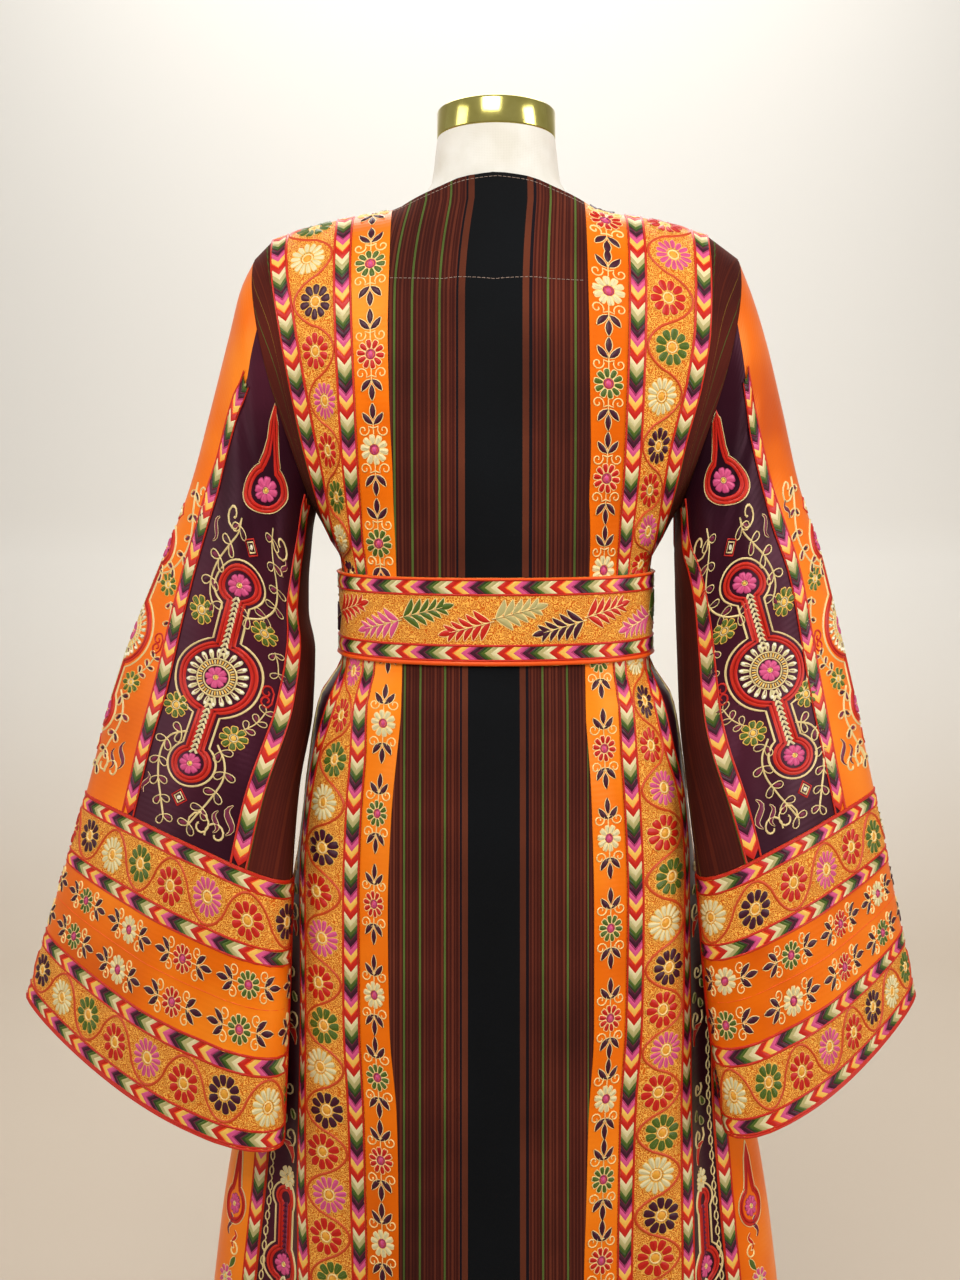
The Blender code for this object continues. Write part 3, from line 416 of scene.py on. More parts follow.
def long_cut(start, end, columns, front=False):
    """A piece that runs from the hem to its top edge between two seams. Rows lie at set heights
    up to the chest, and then spread up to the neckline or the shoulder line."""
    dense = np.linspace(0.0, 1.0, columns + 1)
    top = np.full(columns + 1, SHOULDER_TIP)
    for _ in range(10):
        x = body_point(start(top) + (end(top) - start(top)) * dense, top)[:, 0]
        top = top_edge(x, front)
    climb = np.sin(np.linspace(0.0, math.pi / 2, UPPER_ROWS + 1)[1:, None])
    rows = len(BODY_ROWS_Z) + UPPER_ROWS

    def place(share):
        tops = np.interp(share[len(BODY_ROWS_Z):], dense, top)
        z = np.concatenate([np.repeat(BODY_ROWS_Z[:, None], columns + 1, axis=1),
                            CHEST + (tops - CHEST) * climb])
        first = inset_angle(start(z), z, SEAM_GAP / 2)
        last = inset_angle(end(z), z, -SEAM_GAP / 2)
        return first + (last - first) * share, z

    share = np.repeat(dense[None, :], rows, axis=0)
    for _ in range(2):
        share = even_shares(lambda s: body_point(*place(s)), share)
    angle, z = place(share)
    points, normals = body_point(angle, z), outward(body_point, angle, z)
    on_shoulder = np.abs(points[-1, :, 0]) > NECK_POINT
    points[-1, on_shoulder, 1] = SEAM_GAP / 2 if front else -SEAM_GAP / 2
    normals[-1, on_shoulder, 1] = 0.0
    normals[-1] = unit(normals[-1])
    return Cut(points, normals)


def gore_cut(start, end, columns):
    """A skirt gore between two seams, from the hem to the belt."""
    heights = np.append(BODY_ROWS_Z[BODY_ROWS_Z < WAIST_SEAM - ROW_STEP / 2],
                        WAIST_SEAM - SEAM_GAP / 2)
    z = np.repeat(heights[:, None], columns + 1, axis=1)
    first = inset_angle(start(z), z, SEAM_GAP / 2)
    last = inset_angle(end(z), z, -SEAM_GAP / 2)
    share = np.repeat(np.linspace(0.0, 1.0, columns + 1)[None, :], len(z), axis=0)
    share = even_shares(lambda s: body_point(first + (last - first) * s, z), share)
    angle = first + (last - first) * share
    return Cut(body_point(angle, z), outward(body_point, angle, z))


def seam(name, front=False):
    """A seam's angle as a function of height."""
    return lambda z: seam_angle(name, z, front)


cuts = {}
for face, front in (("back", False), ("front", True)):
    left, right = seam("panel_left", front), seam("panel_right", front)
    if front:
        cuts["front_panel"] = long_cut(
            right, lambda z: seam_angle("panel_left", z, True) + 2 * math.pi, 20, True)
    else:
        cuts["back_panel"] = long_cut(left, right, 20)
    for side in ("left", "right"):
        edges = [seam(kind + "_" + side, front) for kind in ("panel", "flower", "daisy")]
        rising = (side == "right") != front
        for kind, inner, outer, columns in (("flower", edges[0], edges[1], 5),
                                            ("daisy", edges[1], edges[2], 9)):
            start, end = (inner, outer) if rising else (outer, inner)
            cuts[face + "_" + kind + "_band_" + side] = long_cut(start, end, columns, front)
for side, sign in (("left", -1), ("right", 1)):
    edges = [seam("daisy_" + side), seam("gore_" + side), seam("daisy_" + side, True)]
    for name, ends, columns in (("aubergine_gore_", edges[:2], 8), ("orange_gore_", edges[1:], 44)):
        start, end = ends[::sign]
        cuts[name + side] = gore_cut(start, end, columns)
for name, cut in cuts.items():
    print(f"{name}: {cut.length:.3f} m long, {cut.width.min():.3f} to {cut.width.max():.3f} m wide")

# %% [markdown]
# ## Sleeves, cuffs and the sides of the bodice
# The sleeve starts from the armhole's own curve and fades into wide, flat sections that hang
# down to the cuff. Four long pieces make it: an embroidered orange piece over the arm, an
# aubergine piece behind and one in front, and a striped piece under the arm.

# %% Sleeve tables
SLEEVE_NAMES = "along outer_x outer_y outer_z inner_x inner_y inner_z back_depth front_depth sag"
SLEEVE_LEFT = Table(
    SLEEVE_NAMES,
    (0.00, 0.2224, 0.000, 1.3670, 0.1700, 0.000, 1.1350, 0.075, 0.080, 0.000),
    (0.05, 0.2345, 0.000, 1.3440, 0.1735, 0.000, 1.1180, 0.073, 0.076, 0.000),
    (0.13, 0.2470, 0.000, 1.3020, 0.1755, 0.000, 1.0980, 0.070, 0.070, 0.000),
    (0.25, 0.2690, 0.000, 1.2240, 0.1775, -0.005, 1.0680, 0.066, 0.062, 0.000),
    (0.35, 0.2870, 0.000, 1.1620, 0.1770, -0.012, 1.0400, 0.063, 0.056, 0.000),
    (0.47, 0.3155, 0.005, 1.0900, 0.1705, -0.018, 1.0030, 0.060, 0.050, 0.000),
    (0.59, 0.3477, 0.010, 1.0157, 0.1720, -0.028, 0.9500, 0.060, 0.046, -0.003),
    (0.71, 0.3770, 0.010, 0.9300, 0.1830, -0.055, 0.8780, 0.060, 0.042, -0.007),
    (0.80, 0.3957, 0.010, 0.8646, 0.1880, -0.075, 0.8000, 0.060, 0.040, -0.009),
    (0.90, 0.4290, 0.015, 0.7600, 0.1905, -0.102, 0.6850, 0.060, 0.040, 0.004),
    (1.00, 0.4633, 0.025, 0.6563, 0.1939, -0.130, 0.5671, 0.060, 0.040, 0.014),
)
SLEEVE_RIGHT = Table(
    SLEEVE_NAMES,
    (0.00, 0.2224, 0.000, 1.3670, 0.1700, 0.000, 1.1350, 0.075, 0.080, 0.000),
    (0.05, 0.2368, 0.000, 1.3330, 0.1710, 0.000, 1.1150, 0.073, 0.076, 0.000),
    (0.13, 0.2505, 0.000, 1.2943, 0.1700, 0.000, 1.0930, 0.070, 0.070, 0.000),
    (0.25, 0.2690, 0.000, 1.2270, 0.1700, -0.006, 1.0650, 0.066, 0.062, 0.000),
    (0.35, 0.2850, 0.000, 1.1620, 0.1705, -0.010, 1.0350, 0.063, 0.056, 0.000),
    (0.47, 0.3103, 0.005, 1.0870, 0.1715, -0.017, 0.9950, 0.060, 0.050, 0.000),
    (0.59, 0.3300, 0.010, 1.0150, 0.1730, -0.028, 0.9400, 0.060, 0.046, -0.002),
    (0.71, 0.3500, 0.010, 0.9350, 0.1780, -0.055, 0.8750, 0.060, 0.042, -0.005),
    (0.80, 0.3656, 0.010, 0.8686, 0.1851, -0.075, 0.8030, 0.060, 0.040, -0.007),
    (0.90, 0.3900, 0.012, 0.7600, 0.1930, -0.100, 0.6900, 0.060, 0.040, 0.003),
    (1.00, 0.4125, 0.015, 0.6610, 0.2080, -0.125, 0.5770, 0.058, 0.040, 0.011),
)
CUFF_START = 0.80
CUFF_SEAM = 0.00013
SLEEVE_SKEW = 0.30        # how much fuller the section is towards its inner end
BLEND_LENGTH = 0.30       # share of the sleeve over which the armhole's own curve fades
CREASE_START = 0.08       # share over which the creases grow from nothing
MITRE_END = 0.30          # under the arm the mitre fades, from this minus cosine of the turn on
MITRE_FADE = 0.55         # and over this much of it
SLEEVE_STEP = 1e-3        # step for the sleeve's slopes, in radians and in shares
SLEEVE_SEAMS = Table(
    "along top_left under_left top_right under_right",
    (0.00, 0.290, 0.930, 0.270, 0.945),
    (0.07, 0.330, 0.930, 0.325, 0.940),
    (0.17, 0.250, 0.925, 0.310, 0.920),
    (0.26, 0.212, 0.915, 0.284, 0.880),
    (0.36, 0.187, 0.900, 0.240, 0.850),
    (0.44, 0.190, 0.893, 0.222, 0.848),
    (0.51, 0.211, 0.890, 0.230, 0.848),
    (0.59, 0.243, 0.875, 0.240, 0.843),
    (0.66, 0.260, 0.853, 0.248, 0.824),
    (0.73, 0.260, 0.818, 0.252, 0.780),
    (0.80, 0.255, 0.785, 0.250, 0.742),
)
SLEEVE_CREASES = (        # turn and place of the middle, half width, half length, lean, lift
    (1.30, 0.16, 0.16, 0.060, 3.0, -0.0035),
    (1.75, 0.22, 0.15, 0.060, 3.4, -0.0040),
    (1.10, 0.34, 0.18, 0.080, 2.4, -0.0030),
    (1.95, 0.38, 0.17, 0.070, 3.0, -0.0040),
    (1.50, 0.50, 0.20, 0.080, 1.6, -0.0030),
    (2.15, 0.56, 0.17, 0.090, 1.0, -0.0035),
    (1.25, 0.66, 0.18, 0.080, 0.8, -0.0025),
    (1.85, 0.74, 0.20, 0.090, 0.4, -0.0030),
    (0.80, 0.24, 0.14, 0.050, 2.2, -0.0022),
    (-1.20, 0.22, 0.18, 0.070, -2.6, -0.0035),
    (-1.80, 0.36, 0.17, 0.080, -2.4, -0.0040),
    (-1.40, 0.55, 0.20, 0.090, -1.2, -0.0030),
    (1.45, 0.90, 0.16, 0.070, 0.3, 0.0028),
    (1.98, 0.93, 0.14, 0.060, 0.2, -0.0030),
    (-1.60, 0.90, 0.18, 0.080, 0.2, -0.0030),
)
TOP_COLUMNS, BACK_COLUMNS, UNDER_COLUMNS = 16, 16, 12
SLEEVE_ALONGS = np.concatenate([np.linspace(0.0, 0.06, 5)[:-1],
                                np.linspace(0.06, CUFF_START - CUFF_SEAM, 50)])
CUFF_SATIN = (0.327, 0.662)  # the cuff is orange satin between these shares of its length
CUFF_SHARES = np.concatenate([np.linspace(0.0, CUFF_SATIN[0], 8)[:-1],
                              np.linspace(*CUFF_SATIN, 8)[:-1], np.linspace(CUFF_SATIN[1], 1.0, 8)])
CUFF_ALONGS = CUFF_START + CUFF_SEAM + (1.0 - CUFF_START - CUFF_SEAM) * CUFF_SHARES


def armhole_angle(z, front=False):
    """Angle of the armhole's edge at height z on the right-hand side."""
    return angle_at(ARMHOLE("lateral", z), z, front)


def armhole_height(turn):
    """Height on the armhole: its top at turn 0, its foot half a turn on."""
    return (SHOULDER_TIP + ARMPIT) / 2 + (SHOULDER_TIP - ARMPIT) / 2 * np.cos(turn)


def armhole_point(turn):
    """The armhole's edge on the right-hand side, with the back at turns from 0 to pi."""
    z = armhole_height(turn)
    behind = np.sin(turn) >= 0
    back = body_point(armhole_angle(z, False), z)
    front = body_point(armhole_angle(z, True), z)
    point = np.where(behind[..., None], back, front)
    point[..., 1] *= np.clip(np.abs(np.sin(turn)) * 1e6, 0, 1)
    return point


def sleeve_section(table, turn, along):
    """A sleeve's plain section: two half ellipses, back and front, on the line from its outer
    end (turn 0) to its inner end (half a turn), both fuller towards the inner end."""
    outer, inner = (np.stack([table(end + axis, along)
                              for axis in ("_x", "_y", "_z")], axis=-1)
                    for end in ("outer", "inner"))
    share = ((1 - np.cos(turn)) / 2)[..., None]
    point = outer + (inner - outer) * share
    back = table("back_depth", along)
    front = table("front_depth", along)
    skew = 1 - SLEEVE_SKEW * np.cos(turn) * np.clip(along / BLEND_LENGTH, 0, 1)
    point[..., 1] -= np.where(np.sin(turn) > 0, back, front) * np.sin(turn) * skew
    point[..., 2] -= table("sag", along) * np.sin(turn) ** 2
    return point


def sleeve_point(table, turn, along):
    """A right-hand sleeve's outer face: the armhole's own curve fading into plain sections, with
    creases that push its back and front in and out."""
    fade = np.clip(along / BLEND_LENGTH, 0.0, 1.0)
    fade = (1 - fade) ** 2 * (1 + 2 * fade)
    start = sleeve_section(table, turn, np.zeros_like(along))
    point = sleeve_section(table, turn, along) + fade[..., None] * (armhole_point(turn) - start)
    push = crease_lift(SLEEVE_CREASES, turn, along, 2 * math.pi)
    push = push * np.clip(along / CREASE_START, 0, 1)
    point[..., 1] -= push * np.sign(np.sin(turn)) * np.abs(np.sin(turn)) ** 0.5
    return point


def sleeve_speed(table, turn, along):
    """Metres that the sleeve's face runs per radian of turn."""
    return np.linalg.norm(sleeve_point(table, turn + SMALL, along)
                          - sleeve_point(table, turn - SMALL, along), axis=-1) / (2 * SMALL)


def sleeve_grid(table, turn, along):
    """Outer points and normals of a stretch of sleeve. At the armhole the wall takes the body's
    own normal over the shoulder and behind the arm, so that the two walls meet in a mitre."""
    points = sleeve_point(table, turn, along)
    around = (sleeve_point(table, turn + SLEEVE_STEP, along)
              - sleeve_point(table, turn - SLEEVE_STEP, along))
    down = (sleeve_point(table, turn, np.clip(along + SLEEVE_STEP, 0.0, 1.0))
            - sleeve_point(table, turn, np.clip(along - SLEEVE_STEP, 0.0, 1.0)))
    normals = unit(np.cross(around, down))
    at_armhole = along < 1e-9
    z = armhole_height(turn)
    front = np.sin(turn) < 0
    body_angle = np.where(front, armhole_angle(z, True), armhole_angle(z, False))
    body_normal = outward(body_point, body_angle, z)
    tip = np.abs(np.sin(turn)) < 1e-6
    body_normal[tip, 1] = 0.0
    body_normal = unit(body_normal)
    share = np.clip((-np.cos(turn) - MITRE_END) / MITRE_FADE, 0.0, 1.0)[..., None]
    mitre = unit(body_normal * (1 - share) + normals * share)
    away = unit(np.cross(mitre, around)) * (1 - share) + share * np.array((1.0, 0.0, 0.0))
    points = np.where(at_armhole[..., None], points + SEAM_GAP * away, points)
    normals = np.where(at_armhole[..., None], mitre, normals)
    return points, normals


def sleeve_seam(name):
    """A sleeve seam on the back, as a function that gives its turn at any place along it."""
    def turn(along):
        share = SLEEVE_SEAMS(name, along)
        return np.arccos(1 - 2 * share)
    return turn


def mirrored(seam_turn, full_turn):
    """The front's copy of a sleeve seam, a full turn on or at minus its turn."""
    return lambda along: full_turn - seam_turn(along)


def sleeve_turns(along, side):
    """Turns of every sleeve column at one place along it, from the front trim round the outer
    edge, the back and the underarm to the front again."""
    top = float(sleeve_seam("top_" + side)(along))
    under = float(sleeve_seam("under_" + side)(along))
    ends = (-top, top, under, 2 * math.pi - under, 2 * math.pi - top)
    counts = (TOP_COLUMNS, BACK_COLUMNS, UNDER_COLUMNS, BACK_COLUMNS)
    runs = [np.linspace(ends[i], ends[i + 1], counts[i] + 1)[:-1] for i in range(len(counts))]
    return np.concatenate(runs).round(9)


def sleeve_cut(table, start, end, columns, flip):
    """One long sleeve piece between two seams, from the armhole to the cuff."""
    share = np.linspace(0.0, 1.0, columns + 1)
    along = np.repeat(SLEEVE_ALONGS[:, None], columns + 1, axis=1)
    turn = start(along) + (end(along) - start(along)) * share
    turn = turn + SEAM_GAP / 2 / sleeve_speed(table, turn, along) * (1 - 2 * share)
    points, normals = sleeve_grid(table, turn, along)
    return Cut(points * flip, normals * flip)


SIDE_SPREAD = 1.5         # power by which the columns fan out to the armhole as they rise
SIDE_CROWDING = 18.0      # added to it near the shoulder, where they stay together longest


def side_wing(daisy_seam, turns, below, front):
    """Half of a bodice side piece on the right-hand side: columns fan out from the daisy band's
    seam to the side line, and each ends on the shoulder or on the armhole."""
    corner = SHOULDER_TIP
    for _ in range(8):
        corner = shoulder_height(SEAMS(daisy_seam, corner))
    tops = np.concatenate([[corner], armhole_height(turns)])
    low = np.linspace(WAIST_SEAM, CHEST, 13)
    climb = np.sin(np.linspace(0.0, math.pi / 2, UPPER_ROWS + 1)[1:])
    heights = np.concatenate([low, CHEST + (corner - CHEST) * climb])
    rows = np.clip((heights - ABOVE_BELT) / (corner - ABOVE_BELT), 0.0, 1.0)[:, None]
    z = ABOVE_BELT + (tops - ABOVE_BELT) * rows
    under_belt = heights < ABOVE_BELT
    z[under_belt] = heights[under_belt, None]
    z[0] = WAIST_SEAM + SEAM_GAP / 2
    inner = np.abs(seam_angle(daisy_seam, z, front))
    side = np.full_like(z, math.pi / 2)
    outer = np.where(z > ARMPIT, armhole_angle(z, front), side)
    crowd = np.concatenate([[0.0], SIDE_CROWDING * np.cos(turns / 2) ** 2])
    spread = below + (1.0 - below) * rows ** (SIDE_SPREAD + crowd)
    spread[:, 0] = 0.0
    return inner + (outer - inner) * spread, z


def side_cut(side):
    """A bodice side piece: two wings joined along the side line."""
    daisy_seam = "daisy_right" if side > 0 else "daisy_left"
    turns = sleeve_turns(0.0, "right" if side > 0 else "left")
    turns = turns[(turns >= 0) & (turns < math.pi + 1e-6)]
    below = np.linspace(0.0, 1.0, len(turns) + 1)
    back_angle, back_z = side_wing(daisy_seam, turns, below, front=False)
    front_angle, front_z = side_wing(daisy_seam, turns, below, front=True)
    angle = np.concatenate([back_angle, front_angle[:, -2::-1]], axis=1)
    z = np.concatenate([back_z, front_z[:, -2::-1]], axis=1)
    angle[:, 0] = inset_angle(angle[:, 0], z[:, 0], SEAM_GAP / 2)
    angle[:, -1] = inset_angle(angle[:, -1], z[:, -1], -SEAM_GAP / 2)
    points, normals = body_point(angle, z), outward(body_point, angle, z)
    for column in (0, 1, -2, -1):
        points[-1, column, 1] = SEAM_GAP / 2 * (-1 if column >= 0 else 1)
        normals[-1, column, 1] = 0.0
        normals[-1, column] = unit(normals[-1, column])
    return Cut(points * (side, 1, 1), normals * (side, 1, 1))


SLEEVES = (("left", -1, SLEEVE_LEFT), ("right", 1, SLEEVE_RIGHT))
for side, sign, table in SLEEVES:
    cuts["side_panel_" + side] = side_cut(sign)
    flip = np.array((sign, 1, 1))
    top, under = sleeve_seam("top_" + side), sleeve_seam("under_" + side)
    front_top, front_under = mirrored(top, 0.0), mirrored(under, 2 * math.pi)
    for piece, start, end, columns in (
            ("top", front_top, top, TOP_COLUMNS),
            ("back", top, under, BACK_COLUMNS),
            ("under", under, front_under, UNDER_COLUMNS),
            ("front", front_under, mirrored(top, 2 * math.pi), BACK_COLUMNS)):
        cuts["sleeve_" + piece + "_" + side] = sleeve_cut(table, start, end, columns, flip)
    turn, along = np.meshgrid(sleeve_turns(CUFF_START, side), CUFF_ALONGS)
    points, normals = sleeve_grid(table, turn, along)
    cuts["cuff_" + side] = Cut(points * flip, normals * flip, ring=True)

BELT = Table("degrees low high", (0, 1.0010, 1.0798), (90, 1.0020, 1.0798), (180, 1.0030, 1.0810))
BELT_THICKNESS = 0.0026
BELT_CLEARANCE = 0.0012   # between the belt and the dress
turn = np.linspace(-math.pi, math.pi, 145)[:-1]
low, high = (BELT(name, np.abs(np.degrees(turn))) for name in ("low", "high"))
z = low + (high - low) * np.linspace(0.0, 1.0, 7)[:, None]
angle = np.repeat(turn[None, :], len(z), axis=0)
normals = outward(body_point, angle, z)
points = body_point(angle, z) + normals * (BELT_CLEARANCE + BELT_THICKNESS)
points[..., 2] = z
cuts["belt"] = Cut(points, normals, ring=True)
print("sleeve back:", round(cuts["sleeve_back_left"].length, 3), "m long;",
      "cuff:", round(float(cuts["cuff_left"].width[-1]), 3), "m round its edge;",
      "belt:", round(float(cuts["belt"].width[0]), 3), "m round")

# %% [markdown]
# ## Meshes from grids
# A cloth piece is a closed wall: its outer grid, the same grid moved in by the cloth's thickness,
# and four narrow edges. Each piece gets a UV map in metres, measured on the flat cloth, so that
# stripes and weave follow the cut piece and not the room.

# %% Mesh builders
def grid_faces(rows, columns, ring, start=0):
    """Quads over a grid of points, row by row; a ring joins its last column to its first."""
    width = columns if ring else columns - 1
    row, column = np.meshgrid(np.arange(rows - 1), np.arange(width), indexing="ij")
    after = (column + 1) % columns
    quads = np.stack([row * columns + column, row * columns + after,
                      (row + 1) * columns + after, (row + 1) * columns + column], axis=-1)
    return quads.reshape(-1, 4) + start


def signed_volume(points, quads):
    """Six times the volume inside a closed mesh of quads: minus when its faces point in."""
    a, b, c, d = (points[quads[:, k]] for k in range(4))
    return float((np.einsum("ij,ij->i", a, np.cross(b, c))
                  + np.einsum("ij,ij->i", a, np.cross(c, d))).sum())


def new_mesh(name, points, quads, materials=(), slots=None, uv=None, sharp=None):
    """A mesh from arrays: points, quads, one material index a face and one UV a face corner."""
    mesh = bpy.data.meshes.new(name)
    mesh.vertices.add(len(points))
    mesh.vertices.foreach_set("co", np.ascontiguousarray(points, dtype=np.float32).ravel())
    mesh.loops.add(quads.size)
    mesh.loops.foreach_set("vertex_index", np.ascontiguousarray(quads, dtype=np.int32).ravel())
    mesh.polygons.add(len(quads))
    mesh.polygons.foreach_set("loop_start", np.arange(0, quads.size, quads.shape[1],
                                                      dtype=np.int32))
    if slots is not None:
        mesh.polygons.foreach_set("material_index", np.ascontiguousarray(slots, dtype=np.int32))
    if uv is not None:
        layer = mesh.uv_layers.new(name="cloth")
        layer.uv.foreach_set("vector", np.ascontiguousarray(uv, dtype=np.float32).ravel())
    for item in materials:
        mesh.materials.append(item)
    mesh.update(calc_edges=True)
    mesh.validate()
    mesh.shade_smooth()
    if sharp is not None:
        mesh.set_sharp_from_angle(angle=sharp)
    made = bpy.data.objects.new(name, mesh)
    bpy.context.scene.collection.objects.link(made)
    return made


EDGE_ANGLE = math.radians(50)  # edges sharper than this are shaded hard
TURN_STEPS = 96


def cloth_wall(name, cut, materials, thickness=CLOTH, across=None, row_slots=None):
    """A closed wall between a cut's outer grid and the same grid moved in. Its UV is metres
    across, from the first column unless it is given, and metres along. row_slots gives each
    row of faces its material."""
    rows, columns = cut.points.shape[:2]
    count = rows * columns
    points = np.concatenate([cut.points.reshape(-1, 3),
                             (cut.points - thickness * cut.normals).reshape(-1, 3)])
    index = np.arange(count).reshape(rows, columns)
    faces = [grid_faces(rows, columns, cut.ring),
             grid_faces(rows, columns, cut.ring, count)[:, ::-1]]
    across = cut.across[:, :columns] if across is None else across
    along = np.repeat(cut.along[:, None], columns, axis=1)
    flat = np.stack([across, along], axis=-1).reshape(-1, 2)
    flat = np.concatenate([flat, flat])
    lines = [(index[0], False), (index[-1], True)]
    if cut.ring:
        lines = [(np.append(line, line[0]), turn_over) for line, turn_over in lines]
    else:
        lines += [(index[:, 0], True), (index[:, -1], False)]
    for line, turn_over in lines:
        strip = np.stack([line[:-1], line[:-1] + count, line[1:] + count, line[1:]], axis=-1)
        faces.append(strip[:, ::-1] if turn_over else strip)
    faces = np.concatenate(faces)
    if signed_volume(points, faces) < 0:
        faces = faces[:, ::-1]
    uv = flat[faces]
    if cut.ring:
        jump = (uv[..., 0].max(axis=1) - uv[..., 0].min(axis=1)) > cut.width.min() / 2
        small = uv[..., 0] < cut.width.min() / 2
        uv[..., 0] += np.where(jump[:, None] & small, cut.width.mean(), 0.0)
    slots = None
    if row_slots is not None:
        spans = columns if cut.ring else columns - 1
        slots = np.zeros(len(faces), dtype=int)
        slots[:2 * (rows - 1) * spans] = np.tile(np.repeat(row_slots, spans), 2)
    made = new_mesh(name, points, faces, materials, slots=slots, uv=uv, sharp=EDGE_ANGLE)
    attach(made, "root")
    return made


def turned(name, profile, material, tilt=0.0, middle=(0.0, 0.0, 0.0)):
    """A turned piece: a profile of (radius, height) from top to bottom carried round +Z, then
    leant back by tilt and set on its place."""
    profile, steps = np.array(profile), TURN_STEPS
    turn = np.linspace(0.0, 2 * math.pi, steps + 1)[:-1]
    ring = np.stack([np.cos(turn), np.sin(turn)], axis=-1)
    body = profile[(profile[:, 0] > 0)]
    side = np.concatenate([body[:, None, :1] * ring, np.repeat(body[:, None, 1:], steps, axis=1)],
                          axis=-1)
    points = np.concatenate([side.reshape(-1, 3),
                             [(0.0, 0.0, profile[0, 1]), (0.0, 0.0, profile[-1, 1])]])
    quads = grid_faces(len(body), steps, True)
    after = (np.arange(steps) + 1) % steps
    top, foot = len(points) - 2, len(points) - 1
    last = (len(body) - 1) * steps
    caps = [np.stack([np.full(steps, top), after, np.arange(steps)], axis=-1),
            np.stack([np.full(steps, foot), last + np.arange(steps), last + after], axis=-1)]
    cos, sin = math.cos(tilt), math.sin(tilt)
    y = points[:, 1] * cos + points[:, 2] * sin
    z = points[:, 2] * cos - points[:, 1] * sin
    points = np.stack([points[:, 0], y, z], axis=-1) + np.array(middle)
    faces = [tuple(q) for q in quads.tolist()] + [tuple(t) for c in caps for t in c.tolist()]
    mesh = bpy.data.meshes.new(name)
    mesh.from_pydata(points.tolist(), [], faces)
    mesh.materials.append(material)
    shape = bmesh.new()
    shape.from_mesh(mesh)
    bmesh.ops.recalc_face_normals(shape, faces=shape.faces)
    shape.to_mesh(mesh)
    shape.free()
    mesh.shade_smooth()
    mesh.set_sharp_from_angle(angle=EDGE_ANGLE)
    made = bpy.data.objects.new(name, mesh)
    bpy.context.scene.collection.objects.link(made)
    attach(made, "root")
    return made


# %% [markdown]
# ## Materials
# A small function turns an sRGB hex value to linear colour, and a class builds one material.

# %% Colour and node helpers
def linear(value):
    """An sRGB hex value as linear red, green, blue and 1: below 0.04045 a straight line, above it
    a power of 2.4."""
    channel = np.array([int(value[k:k + 2], 16) for k in (1, 3, 5)]) / 255
    out = np.where(channel <= 0.04045, channel / 12.92, ((channel + 0.055) / 1.055) ** 2.4)
    return (*out.tolist(), 1.0)


class Finish:
    """A new material, with short ways to add nodes to it and to set its Principled shader."""

    def __init__(self, name):
        self.material = bpy.data.materials.new(name)
        self.material.use_nodes = True
        self.tree = self.material.node_tree

    def feed(self, made, settings):
        """Sets a node's own properties and its sockets. A socket is given by its name, with
        underscores for spaces, or by an underscore and its number. It takes a value or another
        node's output."""
        for key, value in settings.items():
            socket = int(key[1:]) if key[0] == "_" else key.replace("_", " ")
            if hasattr(made, key):
                setattr(made, key, value)
            elif isinstance(value, bpy.types.NodeSocket):
                self.tree.links.new(value, made.inputs[socket])
            else:
                made.inputs[socket].default_value = value

    def node(self, kind, **settings):
        """Adds a node."""
        made = self.tree.nodes.new("ShaderNode" + kind)
        self.feed(made, settings)
        return made

    def place(self):
        """Where a point lies in the dress's own axes, in metres."""
        return self.node("TexCoord").outputs["Object"]

    def flat(self):
        """Where a point lies on the cut piece laid flat, in metres."""
        return self.node("UVMap", uv_map="cloth").outputs["UV"]

    def noise(self, scale, detail, at):
        """Noise from 0 to 1."""
        return self.node("TexNoise", Scale=scale, Detail=detail, Vector=at).outputs["Fac"]

    def wave(self, direction, scale, distortion, detail, at):
        """Waves from 0 to 1 in one direction."""
        return self.node("TexWave", wave_type="BANDS", bands_direction=direction, Scale=scale,
                         Distortion=distortion, Detail=detail, Vector=at).outputs["Fac"]

    def math(self, operation, *values):
        """Arithmetic on values and outputs."""
        numbered = {f"_{k}": value for k, value in enumerate(values)}
        return self.node("Math", operation=operation, **numbered).outputs[0]

    def between(self, low, high, share):
        """A share from 0 to 1 stretched to other limits."""
        return self.node("MapRange", To_Min=low, To_Max=high, Value=share).outputs[0]

    def bump(self, strength, distance, height, **settings):
        """Normals that make the surface look raised where height is 1."""
        return self.node("Bump", Strength=strength, Distance=distance, Height=height,
                         **settings).outputs["Normal"]

    def ramp(self, factor, stops, mode="LINEAR"):
        """A colour ramp with (place, hex) stops."""
        made = self.node("ValToRGB", Fac=factor)
        made.color_ramp.interpolation = mode
        line = made.color_ramp.elements
        while len(line) < len(stops):
            line.new(1.0)
        for element, (place, value) in zip(line, stops):
            element.position = place
            element.color = linear(value)
        return made.outputs["Color"]

    def shade(self, **settings):
        """Sets the shader's inputs and gives back the material."""
        self.feed(self.tree.nodes["Principled BSDF"], settings)
        return self.material

# %% [markdown]
# ## Striped velvet cloth
# The dress's ground cloth is a hand-woven stripe, here brushed velvet: fine rust stripes on dark
# brown, a broad black stripe down the middle with rust on both sides, and thin green lines. The
# stripes run along the cut piece, so they are drawn from the UV map's metres across.

